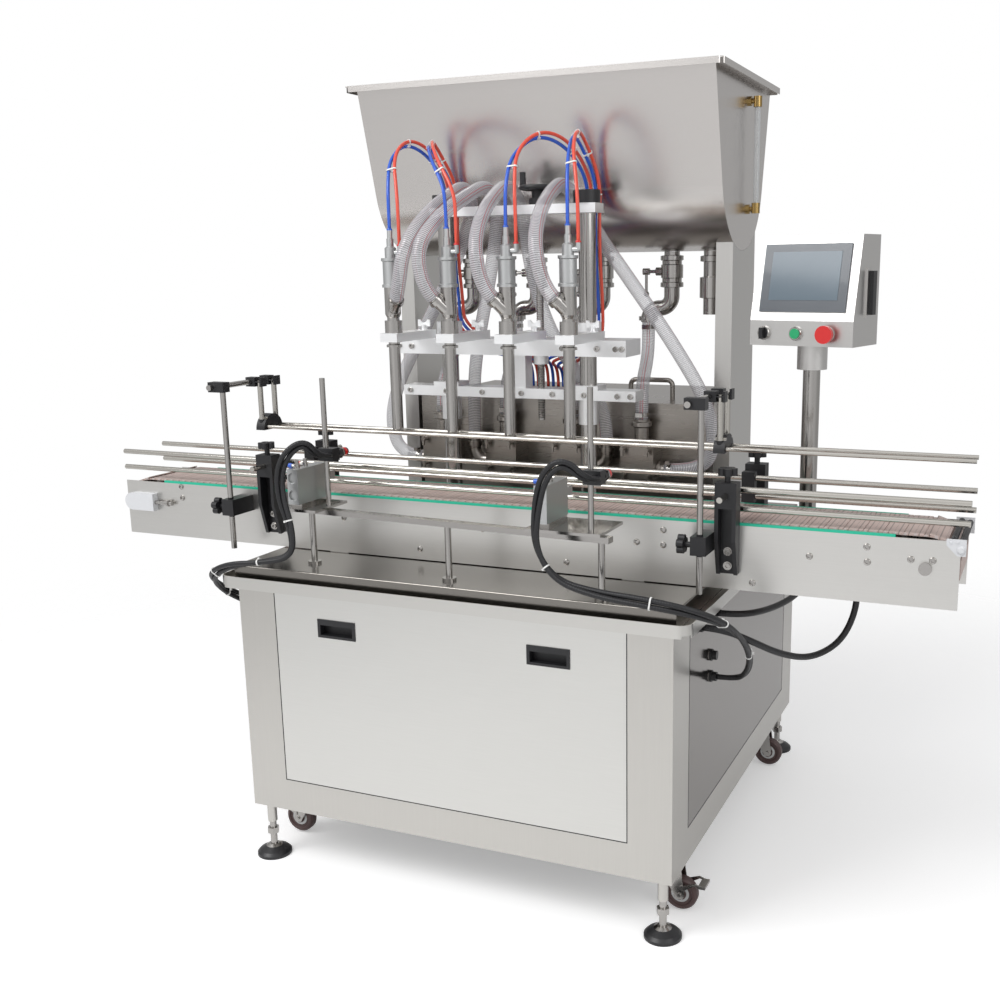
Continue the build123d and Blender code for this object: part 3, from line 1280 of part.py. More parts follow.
# Sleeved cables: two looms down the front and two conduits at the back
gland_end = right + gland_length
left_sensor = (sensor_rods[0][0] + 18, sensor_rods[0][1] - 14)
right_sensor = (sensor_rods[1][0] + 18, sensor_rods[1][1] - 14)
looms = (
    ("left loom", (
        (*left_sensor, sensor_z), (left_sensor[0], -490, sensor_z), (-346, -530, 1004), (-392, -548, 962),
        (-400, -552, 888), (-370, -556, 812), (-368, -560, 752), (-436, -576, 736), (-520, -588, 726),
        (-592, -570, 690), (-618, -500, 640), (-606, -425, 592), (-566, -400, 575),
        (left - gland_length, -400, 575),
    )),
    ("right loom", (
        (*right_sensor, sensor_z), (right_sensor[0], -572, sensor_z), (290, -592, 1004), (250, -596, 972),
        (234, -598, 900), (232, -600, 828), (276, -604, 768), (362, -606, 750), (452, -606, 744),
        (540, -596, 732), (592, -540, 700), (606, -440, 640), (604, -350, 570), (580, -296, 510),
        (548, -290, 497), (gland_end, -290, 497),
    )),
    ("pole conduit", (
        (gland_end, -290, 640), (552, -290, 640), (588, -256, 638), (612, -170, 630), (632, -80, 630),
        (pole_x, -8, 640), (pole_x, pole_y, 680), (pole_x, pole_y, arm_z[0]),
    )),
    ("motor conduit", (
        (gland_end, -400, 640), (558, -400, 640), (604, -366, 612), (650, -280, 560), (696, -190, 528),
        (744, -130, 548), (772, motor_y, 606), (gland_x, motor_y, 672), (gland_x, motor_y, shaft_z - 60),
    )),
)
cables = [cord(name, points, loom_diameter) for name, points in looms]
save("black_cables", *cables)
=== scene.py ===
import bpy
import bmesh
import math
from mathutils import Matrix, Vector


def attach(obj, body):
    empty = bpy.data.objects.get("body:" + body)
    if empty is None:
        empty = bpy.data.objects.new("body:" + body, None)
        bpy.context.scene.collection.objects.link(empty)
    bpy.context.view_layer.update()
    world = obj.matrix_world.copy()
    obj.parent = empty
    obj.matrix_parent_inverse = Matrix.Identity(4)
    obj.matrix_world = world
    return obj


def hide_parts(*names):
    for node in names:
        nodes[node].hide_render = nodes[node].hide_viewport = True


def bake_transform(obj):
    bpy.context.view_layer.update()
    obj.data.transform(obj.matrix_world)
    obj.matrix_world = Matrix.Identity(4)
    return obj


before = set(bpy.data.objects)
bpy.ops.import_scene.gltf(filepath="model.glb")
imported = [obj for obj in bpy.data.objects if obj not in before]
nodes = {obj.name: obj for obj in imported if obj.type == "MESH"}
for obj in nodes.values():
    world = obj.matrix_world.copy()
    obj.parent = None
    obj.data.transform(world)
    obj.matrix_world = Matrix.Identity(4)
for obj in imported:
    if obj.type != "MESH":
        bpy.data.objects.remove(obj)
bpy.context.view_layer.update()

# The camera stands in front of the machine, to its right and well above the conveyor.
# It looks down a little and to the left, as the photographer did.
camera_data = bpy.data.cameras.new("camera")
camera = bpy.data.objects.new("camera", camera_data)
bpy.context.scene.collection.objects.link(camera)
bpy.context.scene.camera = camera
camera_data.sensor_width = 36.0
camera_data.lens = 42.04
camera_data.shift_x = -0.0678
camera_data.shift_y = 0.0252
camera_data.clip_start = 0.1
camera_data.clip_end = 60.0
look = Vector((-0.38107, 0.89887, -0.21636))
lift = Vector((-0.07297, 0.20404, 0.97624))
aside = look.cross(lift).normalized()
turned = Matrix((aside, lift, -look)).transposed().to_4x4()
camera.matrix_world = Matrix.Translation((1.15342, -2.60738, 1.36289)) @ turned

# The hoses and cables come next, since everything else is fitted round them.
# Each one is a smooth line through the places where it was seen or tied.
collection = bpy.context.scene.collection


def place(obj, body):
    """Adds a finished piece and lets it ride on a body."""
    collection.objects.link(obj)
    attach(obj, body)


def smooth_line(name, points):
    """The points of the smooth line that a cord follows, in metres."""
    data = bpy.data.curves.new(name, "CURVE")
    data.dimensions = "3D"
    data.resolution_u = 10
    spline = data.splines.new("NURBS")
    spline.points.add(len(points) - 1)
    for target, point in zip(spline.points, points):
        target.co = (point[0] / 1000, point[1] / 1000, point[2] / 1000, 1.0)
    spline.order_u = 3
    spline.use_endpoint_u = True
    holder = bpy.data.objects.new(name, data)
    mesh = bpy.data.meshes.new_from_object(holder)
    line = [vertex.co.copy() for vertex in mesh.vertices]
    bpy.data.objects.remove(holder)
    bpy.data.meshes.remove(mesh)
    return line


def tube(name, line, radius, sides, material):
    """A tube along a line, with its length and turn kept as a UV map."""
    mesh_builder = bmesh.new()
    uv_layer = mesh_builder.loops.layers.uv.new("along")
    side = None
    rings = []
    travelled = 0.0
    marks = []
    for index, point in enumerate(line):
        ahead = line[min(index + 1, len(line) - 1)] - line[max(index - 1, 0)]
        ahead.normalize()
        if side is None:
            side = ahead.orthogonal().normalized()
        side = (side - ahead * side.dot(ahead)).normalized()
        other = ahead.cross(side)
        if index:
            travelled += (point - line[index - 1]).length
        marks.append(travelled)
        ring = []
        for step in range(sides):
            angle = 2 * math.pi * step / sides
            spread = side * math.cos(angle) + other * math.sin(angle)
            ring.append(mesh_builder.verts.new(point + spread * radius))
        rings.append(ring)
    for index in range(len(rings) - 1):
        for step in range(sides):
            after = (step + 1) % sides
            face = mesh_builder.faces.new((
                rings[index][step], rings[index][after], rings[index + 1][after], rings[index + 1][step],
            ))
            face.smooth = True
            across = (step / sides, (step + 1) / sides, (step + 1) / sides, step / sides)
            length = (marks[index], marks[index], marks[index + 1], marks[index + 1])
            for loop, u, v in zip(face.loops, across, length):
                loop[uv_layer].uv = (u, v)
    mesh_builder.faces.new(list(reversed(rings[0])))
    mesh_builder.faces.new(rings[-1])
    bmesh.ops.recalc_face_normals(mesh_builder, faces=mesh_builder.faces)
    mesh = bpy.data.meshes.new(name)
    mesh_builder.to_mesh(mesh)
    mesh_builder.free()
    mesh.materials.append(material)
    return bpy.data.objects.new(name, mesh)


def shader(name):
    """A new node material with its Principled shader and its node tree."""
    material = bpy.data.materials.new(name)
    material.use_nodes = True
    tree = material.node_tree
    return material, tree, tree.nodes["Principled BSDF"]


def plain(name, color, roughness=0.5, metallic=0.0, coat=0.0):
    """A material of one colour whose gloss varies a little."""
    material, tree, principled = shader(name)
    principled.inputs["Base Color"].default_value = (*color, 1.0)
    principled.inputs["Metallic"].default_value = metallic
    principled.inputs["Coat Weight"].default_value = coat
    noise = tree.nodes.new("ShaderNodeTexNoise")
    noise.inputs["Scale"].default_value = 24.0
    noise.inputs["Detail"].default_value = 3.0
    spread = tree.nodes.new("ShaderNodeMapRange")
    spread.inputs["To Min"].default_value = max(roughness - 0.06, 0.02)
    spread.inputs["To Max"].default_value = min(roughness + 0.08, 1.0)
    where = tree.nodes.new("ShaderNodeTexCoord")
    tree.links.new(where.outputs["Object"], noise.inputs["Vector"])
    tree.links.new(noise.outputs["Fac"], spread.inputs["Value"])
    tree.links.new(spread.outputs["Result"], principled.inputs["Roughness"])
    return material


# Clear hose with a woven wall: milky where it is looked through, whiter at its edges and on its ribs.
# The ribs wind round it closely, and two pairs of red threads run along it.
braid, tree, principled = shader("braided_hose")
uv = tree.nodes.new("ShaderNodeUVMap")
uv.uv_map = "along"
split = tree.nodes.new("ShaderNodeSeparateXYZ")
tree.links.new(uv.outputs["UV"], split.inputs["Vector"])


def math_node(tree, operation, first, second=0.0, third=0.0):
    """One step of arithmetic in a node tree, from sockets and numbers."""
    node = tree.nodes.new("ShaderNodeMath")
    node.operation = operation
    for socket, value in zip(node.inputs, (first, second, third)):
        if isinstance(value, float):
            socket.default_value = value
        else:
            tree.links.new(value, socket)
    return node.outputs[0]


ribs_a_metre = 235.0
rib_share = 0.38
rib_count = math_node(tree, "MULTIPLY_ADD", split.outputs["Y"], ribs_a_metre, split.outputs["X"])
rib = math_node(tree, "LESS_THAN", math_node(tree, "FRACT", rib_count), rib_share)
red_threads = 0.0
for share_round, half_width in ((0.30, 0.012), (0.80, 0.012), (0.36, 0.009), (0.86, 0.009)):
    red_thread = math_node(tree, "COMPARE", split.outputs["X"], share_round, half_width)
    red_threads = math_node(tree, "MAXIMUM", red_threads, red_thread)
red_threads = math_node(tree, "MULTIPLY", red_threads, 0.75)
ribbed = tree.nodes.new("ShaderNodeMixRGB")
ribbed.inputs["Color1"].default_value = (0.50, 0.49, 0.52, 1.0)
ribbed.inputs["Color2"].default_value = (0.80, 0.80, 0.82, 1.0)
tree.links.new(rib, ribbed.inputs["Fac"])
tint = tree.nodes.new("ShaderNodeMixRGB")
tint.inputs["Color2"].default_value = (0.50, 0.10, 0.12, 1.0)
tree.links.new(ribbed.outputs[0], tint.inputs["Color1"])
tree.links.new(red_threads, tint.inputs["Fac"])
tree.links.new(tint.outputs[0], principled.inputs["Base Color"])
edge = tree.nodes.new("ShaderNodeLayerWeight")
edge.inputs["Blend"].default_value = 0.30
wall = math_node(tree, "MULTIPLY_ADD", edge.outputs["Facing"], 0.55, 0.38)
solid = math_node(tree, "MAXIMUM", math_node(tree, "MULTIPLY", rib, 0.62), red_threads)
tree.links.new(math_node(tree, "MAXIMUM", wall, solid), principled.inputs["Alpha"])
principled.inputs["Roughness"].default_value = 0.16
principled.inputs["Coat Weight"].default_value = 0.5

feed_routes = (
    (
        (-242, -289, 1299), (-225, -306, 1323), (-208, -306, 1410), (-192, -235, 1478), (-178, -155, 1522),
        (-170, -78, 1552), (-182, -12, 1508), (-222, 0, 1420), (-275, 12, 1330), (-332, 20, 1240),
        (-390, 26, 1150), (-446, 32, 1058), (-474, 42, 965), (-452, 52.5, 880), (-382, 52.5, 880),
    ),
    (
        (-146, -289, 1299), (-163, -306, 1323), (-176, -306, 1410), (-152, -235, 1478), (-128, -155, 1522),
        (-112, -78, 1552), (-116, -12, 1508), (-134, -4, 1405), (-160, 8, 1310), (-190, 22, 1215),
        (-218, 40, 1120), (-230.5, 52.5, 1030), (-230.5, 52.5, 935),
    ),
    (
        (-1, -289, 1299), (-18, -306, 1323), (-34, -306, 1410), (-48, -235, 1478), (-56, -155, 1522),
        (-60, -78, 1552), (-54, -12, 1508), (-46, -4, 1405), (-28, 0, 1310), (4, 2, 1220),
        (52, 4, 1140), (100, 16, 1075), (132.5, 52.5, 1010), (132.5, 52.5, 935),
    ),
    (
        (144, -289, 1299), (127, -306, 1323), (108, -306, 1410), (90, -235, 1478), (80, -155, 1522),
        (78, -78, 1552), (92, -12, 1508), (145, -2, 1420), (205, 10, 1335), (268, 20, 1245),
        (328, 28, 1155), (384, 34, 1062), (410, 44, 965), (384, 52.5, 880), (284, 52.5, 880),
    ),
)


def length_of(line):
    """The length of a line in metres."""
    return sum((after - before).length for before, after in zip(line, line[1:]))


hose_diameter = 0.032
for number, route in enumerate(feed_routes, start=1):
    line = smooth_line("feed_route", route)
    hose = tube(f"feed_hose_{number}", line, hose_diameter / 2, 24, braid)
    collection.objects.link(hose)
    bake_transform(hose)
    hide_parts("feed_hoses")

# The hoses that bring the product down from the hopper to the pumps.
# They are the same hose, bent twice between the S-shaped pipes and the inlets.
pipe_reach = 60
outlets_x = [-286.5 + 181.0 * index for index in range(4)]
pumps_x = [-321.25 + 181.5 * index for index in range(4)]
for number, (outlet, low) in enumerate(zip(outlets_x, pumps_x), start=1):
    top = outlet - pipe_reach
    sideways = 0.2 * (low - top)
    route = (
        (top, 180, 1226), (top, 180, 1180.8), (top + sideways, 155.8, 1135.6),
        (low - sideways, 76.7, 1090.4), (low, 52.5, 1045.2), (low, 52.5, 1000),
    )
    line = smooth_line("inlet_route", route)
    hose = tube(f"inlet_hose_{number}", line, hose_diameter / 2, 24, braid)
    place(hose, "machine")
    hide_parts("inlet_hoses")

# Blue and red air tubes in two arches over the nozzles, tied together with white ties.
# They come down behind the tie plate and end in the manifold on the pump housing.
air_colours = (
    plain("blue_air_tube", (0.025, 0.12, 0.66), 0.22, coat=0.4),
    plain("red_air_tube", (0.85, 0.09, 0.05), 0.22, coat=0.4),
)
nozzles_x = (-266.5, -121.5, 23.5, 168.5)
tie_white = plain("tie_white", (0.86, 0.86, 0.84), 0.35)


def mesh_of(name, builder, material):
    """The finished mesh of a piece, with its faces outward and its edges kept sharp."""
    bmesh.ops.recalc_face_normals(builder, faces=builder.faces)
    mesh = bpy.data.meshes.new(name)
    builder.to_mesh(mesh)
    builder.free()
    mesh.materials.append(material)
    mesh.shade_smooth()
    mesh.set_sharp_from_angle(angle=math.radians(35))
    return mesh


def tie_shape(builder, one, other, along, radius):
    """Adds a cable tie round one tube, or round two that lie side by side."""
    half_width, thick, sides = 0.0016, 0.0013, 28
    along = along.normalized()
    middle = (one + other) / 2
    apart = (other - one) - along * (other - one).dot(along)
    half = apart.length / 2
    across = apart.normalized() if half > 0.001 else along.orthogonal().normalized()
    upward = along.cross(across)
    loops = []
    for reach, shift in ((0.0, -half_width), (thick, -half_width), (thick, half_width), (0.0, half_width)):
        loop = []
        for step in range(sides):
            angle = 2 * math.pi * step / sides
            sideways = math.cos(angle) * (radius + reach) + math.copysign(half, math.cos(angle))
            spread = across * sideways + upward * math.sin(angle) * (radius + reach)
            loop.append(builder.verts.new(middle + spread + along * shift))
        loops.append(loop)
    for low, high in zip(loops, loops[1:] + loops[:1]):
        for step in range(sides):
            after = (step + 1) % sides
            builder.faces.new((low[step], low[after], high[after], high[step]))
    turn = Matrix((across, upward, along)).transposed().to_4x4()
    lock_at = Matrix.Translation(middle + upward * (radius + 0.0028))
    lock_size = Matrix.Diagonal((0.0045, 0.004, 0.0045, 1.0))
    bmesh.ops.create_cube(builder, size=1.0, matrix=lock_at @ turn @ lock_size)


arches = (
    ((-285, -222, 1604), (-284, -150, 1646), (-262, -82, 1622)),
    ((-168, -236, 1592), (-218, -165, 1640), (-240, -92, 1622)),
    ((22, -225, 1600), (52, -155, 1648), (96, -90, 1625)),
    ((154, -222, 1604), (136, -150, 1646), (130, -86, 1622)),
)
lanes_x = (-248, -228, 120, 140)
crossings_y = (4, 4, 50, 50)
twins_apart = 10
manifold_x = -49
port_pitch = 14
air_diameter = 0.008
air_lines = []
for index, x in enumerate(nozzles_x):
    for twin in (0, 1):
        shift = twins_apart * twin
        arch = arches[index]
        if twin == 0:
            rise = [(x, -265, 1447), (x, -265, 1490), (x + 0.15 * (arch[0][0] - x), -260, 1540)]
        else:
            rise = [(x + 24, -265, 1412), (x + 24, -265, 1462), (x + 20, -260, 1526)]
        lane = lanes_x[index] + shift
        order = 2 * index + twin
        land = manifold_x + (order - 3.5) * port_pitch
        fan = 6 * order if index < 2 else -6 * (order - 4)
        low = min(fan, 0)
        over = [(px + shift, py, pz + shift) for px, py, pz in arch]
        down = [
            (lane, -27, 1556), (lane, -32, 1470), (lane, -31, 1375), (lane, -16, 1290),
            (lane, -12, 1210 + fan),
        ]
        end = [
            ((lane + land) / 2, crossings_y[index], 1160 + fan), (land, 78, 1138 + low),
            (land, 130, 1118 + low), (land, 130, 1065),
        ]
        line = smooth_line("air_route", rise + over + down + end)
        air_lines.append(line)
        letter = "ab"[twin]
        air = tube(f"air_tube_{index + 1}{letter}", line, air_diameter / 2, 12, air_colours[twin])
        collection.objects.link(air)
        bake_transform(air)
        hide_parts("air_tubes")
        if twin:
            builder = bmesh.new()
            first_line = air_lines[-2]
            for share in (0.16, 0.27, 0.36, 0.45):
                here = first_line[int(share * len(first_line))]
                near = min(range(1, len(line) - 1), key=lambda spot: (line[spot] - here).length)
                tie_shape(builder, here, line[near], line[near + 1] - line[near - 1], 0.0043)
            ties_name = f"air_ties_{index + 1}"
            ties = bpy.data.objects.new(ties_name, mesh_of(ties_name, builder, tie_white))
            collection.objects.link(ties)
            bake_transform(ties)

# Black sleeved looms and conduits: from the sensors over the front of the deck and under the tray,
# and from the cabinet's side to the panel's pole and the conveyor's motor.
sleeve, tree, principled = shader("ribbed_sleeve")
uv = tree.nodes.new("ShaderNodeUVMap")
uv.uv_map = "along"
ribs = tree.nodes.new("ShaderNodeTexWave")
ribs.bands_direction = "Y"
ribs.inputs["Scale"].default_value = 60.0
bump = tree.nodes.new("ShaderNodeBump")
bump.inputs["Strength"].default_value = 0.35
bump.inputs["Distance"].default_value = 0.001
tree.links.new(uv.outputs["UV"], ribs.inputs["Vector"])
tree.links.new(ribs.outputs["Fac"], bump.inputs["Height"])
tree.links.new(bump.outputs["Normal"], principled.inputs["Normal"])
principled.inputs["Base Color"].default_value = (0.012, 0.012, 0.014, 1.0)
principled.inputs["Roughness"].default_value = 0.42
cable_routes = (
    ("left_loom", (
        (-334, -450, 960), (-334, -490, 960), (-346, -530, 1004), (-392, -548, 962), (-400, -552, 888),
        (-370, -556, 812), (-368, -560, 752), (-436, -576, 736), (-520, -588, 726), (-592, -570, 690),
        (-618, -500, 640), (-606, -425, 592), (-566, -400, 575), (-547, -400, 575),
    )),
    ("right_loom", (
        (334, -528, 960), (334, -572, 960), (290, -592, 1004), (250, -596, 972), (234, -598, 900),
        (232, -600, 828), (276, -604, 768), (362, -606, 750), (452, -606, 744), (540, -596, 732),
        (592, -540, 700), (606, -440, 640), (604, -350, 570), (580, -296, 510), (548, -290, 497),
        (515, -290, 497),
    )),
    ("pole_conduit", (
        (515, -290, 640), (552, -290, 640), (588, -256, 638), (612, -170, 630), (632, -80, 630),
        (640, -8, 640), (640, 2, 680), (640, 2, 725),
    )),
    ("motor_conduit", (
        (515, -400, 640), (558, -400, 640), (604, -366, 612), (650, -280, 560), (696, -190, 528),
        (744, -130, 548), (772, -118, 606), (780, -118, 672), (780, -118, 734),
    )),
)
conduit_diameter = 0.014
lead_diameter = 0.0112
for name, route in cable_routes:
    line = smooth_line("cable_route", route)
    if not name.endswith("loom"):
        cable = tube(name, line, conduit_diameter / 2, 16, sleeve)
        place(cable, "machine")
        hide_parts("black_cables")
        continue
    # A loom is two leads laid side by side, which turn slowly round each other between the ties.
    # They draw in over the last 80 mm at both ends, where they share a sensor or a gland.
    leads = ([], [])
    travelled = 0.0
    total = length_of(line)
    apart_at_plug, apart_between, draw_in = 0.0036, 0.0060, 0.08
    turns_a_metre = 1.2
    side = Vector((1, 0, 0))
    for index, point in enumerate(line):
        ahead = (line[min(index + 1, len(line) - 1)] - line[max(index - 1, 0)]).normalized()
        side = (side - ahead * side.dot(ahead)).normalized()
        if index:
            travelled += (point - line[index - 1]).length
        from_end = min(travelled, total - travelled)
        apart = apart_at_plug + (apart_between - apart_at_plug) * min(from_end / draw_in, 1.0)
        angle = 2 * math.pi * turns_a_metre * travelled
        spread = side * math.cos(angle) + ahead.cross(side) * math.sin(angle)
        leads[0].append(point + spread * apart)
        leads[1].append(point - spread * apart)
    builder = bmesh.new()
    for share in (0.36, 0.55, 0.68, 0.80):
        at = int(share * len(line))
        tie_shape(builder, leads[0][at], leads[1][at], line[at + 1] - line[at - 1], 0.0060)
    ties = bpy.data.objects.new(name + "_ties", mesh_of(name + "_ties", builder, tie_white))
    place(ties, "machine")
    for letter, lead in zip("ab", leads):
        cable = tube(f"{name}_{letter}", lead, lead_diameter / 2, 14, sleeve)
        place(cable, "machine")
        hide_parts("black_cables")


# Brushed stainless steel: long streaks along one direction, in colour, gloss and relief.
# Every sheet of the machine takes one of these, with the streaks the way it was polished.
def brushed(name, color, roughness, stretch, depth=0.04, relief=0.01, uneven=0.05):
    """Steel or aluminium whose streaks run where the stretch is small."""
    material, tree, principled = shader(name)
    where = tree.nodes.new("ShaderNodeTexCoord")
    scale = tree.nodes.new("ShaderNodeMapping")
    scale.inputs["Scale"].default_value = stretch
    streaks = tree.nodes.new("ShaderNodeTexNoise")
    streaks.inputs["Scale"].default_value = 6.0
    streaks.inputs["Detail"].default_value = 6.0
    streaks.inputs["Roughness"].default_value = 0.65
    tree.links.new(where.outputs["Object"], scale.inputs["Vector"])
    tree.links.new(scale.outputs["Vector"], streaks.inputs["Vector"])
    tone = tree.nodes.new("ShaderNodeMixRGB")
    tone.inputs["Color1"].default_value = (*[c * (1 - depth) for c in color], 1.0)
    tone.inputs["Color2"].default_value = (*[min(c * (1 + depth), 1.0) for c in color], 1.0)
    tree.links.new(streaks.outputs["Fac"], tone.inputs["Fac"])
    tree.links.new(tone.outputs[0], principled.inputs["Base Color"])
    gloss = tree.nodes.new("ShaderNodeMapRange")
    gloss.inputs["To Min"].default_value = roughness - uneven
    gloss.inputs["To Max"].default_value = roughness + uneven
    tree.links.new(streaks.outputs["Fac"], gloss.inputs["Value"])
    tree.links.new(gloss.outputs["Result"], principled.inputs["Roughness"])
    bump = tree.nodes.new("ShaderNodeBump")
    bump.inputs["Strength"].default_value = relief
    bump.inputs["Distance"].default_value = 0.0004
    tree.links.new(streaks.outputs["Fac"], bump.inputs["Height"])
    tree.links.new(bump.outputs["Normal"], principled.inputs["Normal"])
    principled.inputs["Metallic"].default_value = 1.0
    return material


def paint(material, *names):
    """Gives CAD nodes a material, and shades their curved faces smooth up to their sharp edges."""
    for name in names:
        node = nodes[name]
        if node.material_slots:
            for slot in node.material_slots:
                slot.material = material
        else:
            node.data.materials.append(material)
        node.data.shade_smooth()
        node.data.set_sharp_from_angle(angle=math.radians(32))


level = (1.5, 1.5, 70.0)
upright = (60.0, 60.0, 1.2)
sheet_steel = brushed("sheet_steel", (0.70, 0.695, 0.67), 0.32, level)
# The side and back panels take a darker copy of the steel: painted shade, for the faces turned away from the
# light.
shaded_side_steel = brushed("shaded_side_steel", (0.30, 0.283, 0.27), 0.17, level, uneven=0.03)
frame_steel = brushed("frame_steel", (0.59, 0.575, 0.545), 0.30, upright)
# The deck's steel is much darker than the machine's other sheets: painted shade under the conveyor and the
# nozzles.
shaded_deck_steel = brushed("shaded_deck_steel", (0.25, 0.236, 0.217), 0.20, level, depth=0.03, relief=0.0, uneven=0.03)
hopper_steel = brushed("hopper_steel", (0.62, 0.595, 0.575), 0.26, level, depth=0.03, relief=0.0, uneven=0.03)
column_steel = brushed("column_steel", (0.58, 0.57, 0.55), 0.33, upright)
conveyor_steel = brushed("conveyor_steel", (0.69, 0.68, 0.655), 0.32, level)
box_steel = brushed("box_steel", (0.64, 0.63, 0.615), 0.32, level)
turned_steel = brushed("turned_steel", (0.45, 0.435, 0.418), 0.17, upright, depth=0.03, relief=0.0, uneven=0.02)
rod_steel = brushed("rod_steel", (0.55, 0.53, 0.49), 0.15, level, depth=0.02, relief=0.0, uneven=0.01)
milled_aluminium = brushed("milled_aluminium", (0.94, 0.945, 0.95), 0.42, level, depth=0.03, uneven=0.04)
cast_aluminium = brushed("cast_aluminium", (0.54, 0.55, 0.55), 0.42, upright, uneven=0.04)
housing_steel = brushed("housing_steel", (0.37, 0.345, 0.32), 0.28, level, depth=0.03, relief=0.0, uneven=0.03)
black = plain("black_moulding", (0.014, 0.014, 0.016), 0.40)
screen_grey = plain("screen_frame", (0.085, 0.098, 0.115), 0.22, coat=0.3)
motor_black = plain("motor_paint", (0.03, 0.03, 0.035), 0.45)
rubber = plain("castor_rubber", (0.085, 0.05, 0.048), 0.45)
brass = plain("fitting_brass", (0.38, 0.26, 0.10), 0.25, metallic=1.0)
green = plain("wear_strip_green", (0.02, 0.52, 0.33), 0.40)
white_plastic = plain("white_plastic", (0.72, 0.73, 0.75), 0.40)
red = plain("signal_red", (0.72, 0.02, 0.02), 0.30, coat=0.4)
button_green = plain("button_green", (0.01, 0.42, 0.16), 0.30, coat=0.4)
blue = plain("fitting_blue", (0.02, 0.12, 0.62), 0.30, coat=0.4)

paint(frame_steel, "cabinet_frame")
paint(sheet_steel, "front_panel")
paint(hopper_steel, "hopper")
paint(column_steel, "hopper_columns")
paint(conveyor_steel, "conveyor_frame")
paint(housing_steel, "pump_housing", "metering_pumps")
paint(turned_steel, "hopper_outlets", "nozzle_bodies", "guide_posts", "nozzle_rods", "metering_pistons")
paint(turned_steel, "outlet_lever_1", "outlet_lever_2", "outlet_lever_3", "outlet_lever_4")
paint(turned_steel, "drive_shaft", "idler_shaft", "stop_mounts", "control_pole")
paint(turned_steel, "castor_fork_1", "castor_fork_2", "castor_fork_3", "castor_fork_4")
paint(milled_aluminium, "nozzle_rack")
paint(cast_aluminium, "nozzle_actuators", "stop_gate_left", "stop_gate_right")
paint(black, "panel_pulls", "rail_brackets", "selector_switch", "door_lock")
paint(screen_grey, "hmi_screen")
paint(motor_black, "conveyor_gearmotor", "pump_drive")
paint(rubber, "castor_wheel_1", "castor_wheel_2", "castor_wheel_3", "castor_wheel_4")
paint(brass, "level_gauge_fittings")
paint(green, "wear_strips")
paint(button_green, "start_button")
paint(red, "stop_button")

# Some nodes are of two materials, such as steel rods in black clamps.
# The second one takes over inside boxes given in mm, which move with the part.
dark = (0.014, 0.014, 0.016)


def two_tone(name, base, boxes, color=dark, roughness=0.4, metallic=0.0):
    """A copy of a material with a second look inside boxes, where None leaves an axis open."""
    material = base.copy()
    material.name = name
    tree = material.node_tree
    surface = tree.nodes["Material Output"].inputs["Surface"]
    first = surface.links[0].from_socket
    second = tree.nodes.new("ShaderNodeBsdfPrincipled")
    second.inputs["Base Color"].default_value = (*color, 1.0)
    second.inputs["Roughness"].default_value = roughness
    second.inputs["Metallic"].default_value = metallic
    where = tree.nodes.new("ShaderNodeTexCoord")
    split = tree.nodes.new("ShaderNodeSeparateXYZ")
    tree.links.new(where.outputs["Object"], split.inputs["Vector"])
    inside_any = 0.0
    for spans in boxes:
        inside = 1.0
        for axis, span in zip("XYZ", spans):
            if span is not None:
                middle, half = (span[0] + span[1]) / 2000, (span[1] - span[0]) / 2000
                within = math_node(tree, "COMPARE", split.outputs[axis], middle, half)
                inside = math_node(tree, "MULTIPLY", inside, within)
        inside_any = math_node(tree, "MAXIMUM", inside_any, inside)
    choose = tree.nodes.new("ShaderNodeMixShader")
    tree.links.new(inside_any, choose.inputs["Fac"])
    tree.links.new(first, choose.inputs[1])
    tree.links.new(second.outputs[0], choose.inputs[2])
    tree.links.new(choose.outputs[0], surface)
    return material


stand_boxes = []
shoe_boxes = []
stands_x = (-631, 514)
for x in stands_x:
    for y in ((-443, -417), (-304, -280), (-250, -226)):
        stand_boxes.append(((x - 34, x + 13), y, (1088, 1113)))
    stand_boxes.append(((x - 60, x + 17), (-453, -367), (796, 842)))
    shoe_boxes.append(((x - 13, x + 13), None, (970, 1009.5)))
    shoe_boxes.append(((x - 13, x + 13), (-285.4, -244.6), (970, 1022)))
rim_z = (665, 694)
# These boxes mark the tray's folded lip, where the painted highlight goes.
lip_highlight_boxes = [
    (None, (-571, -551), rim_z), (None, (551, 571), rim_z),
    ((-571, -538), None, rim_z), ((506, 538), None, rim_z),
]
arms_x = (-551, 557)
front_clamps, back_clamps = (
    [((x - 15, x + 15), across, (860, 940)) for x in arms_x] for across in ((-361, -339), (-223, -201))
)
caps = [(None, None, (1502.2, 1560))]
grip = [(None, None, (1516.5, 1600))]
pads = [(None, None, (-1, 21.5))]
glands = [((499.6, 540), None, None), ((-570, -531.6), None, None)]
sensors = [(None, None, (940, 990))]
# The tray's folded lip is a lighter copy of the same steel: a painted highlight, beside the deck's painted
# shade.
lip_highlight_steel = (0.66, 0.65, 0.62)
paint(two_tone("shaded_deck_and_lip_highlight", shaded_deck_steel, lip_highlight_boxes, lip_highlight_steel, 0.28, metallic=1.0), "deck_tray")
paint(two_tone("stand_steel", turned_steel, stand_boxes), "guard_stands")
paint(two_tone("guard_steel", rod_steel, shoe_boxes), "bottle_guard")
paint(two_tone("front_rail_steel", rod_steel, front_clamps), "front_guide_rails")
paint(two_tone("back_rail_steel", rod_steel, back_clamps), "back_guide_rails")
paint(two_tone("capped_aluminium", milled_aluminium, caps), "top_plate")
paint(two_tone("screw_steel", turned_steel, grip), "lift_handwheel")
paint(two_tone("foot_steel", turned_steel, pads, (0.02, 0.02, 0.022), 0.38), "levelling_feet")
paint(box_steel, "control_box")
# The side and back panels are darker than the front panel: painted shade.
paint(two_tone("shaded_panel_and_glands", shaded_side_steel, glands), "cabinet_panels")
paint(two_tone("cylinder_and_sensor", cast_aluminium, sensors, roughness=0.35), "stop_cylinders")
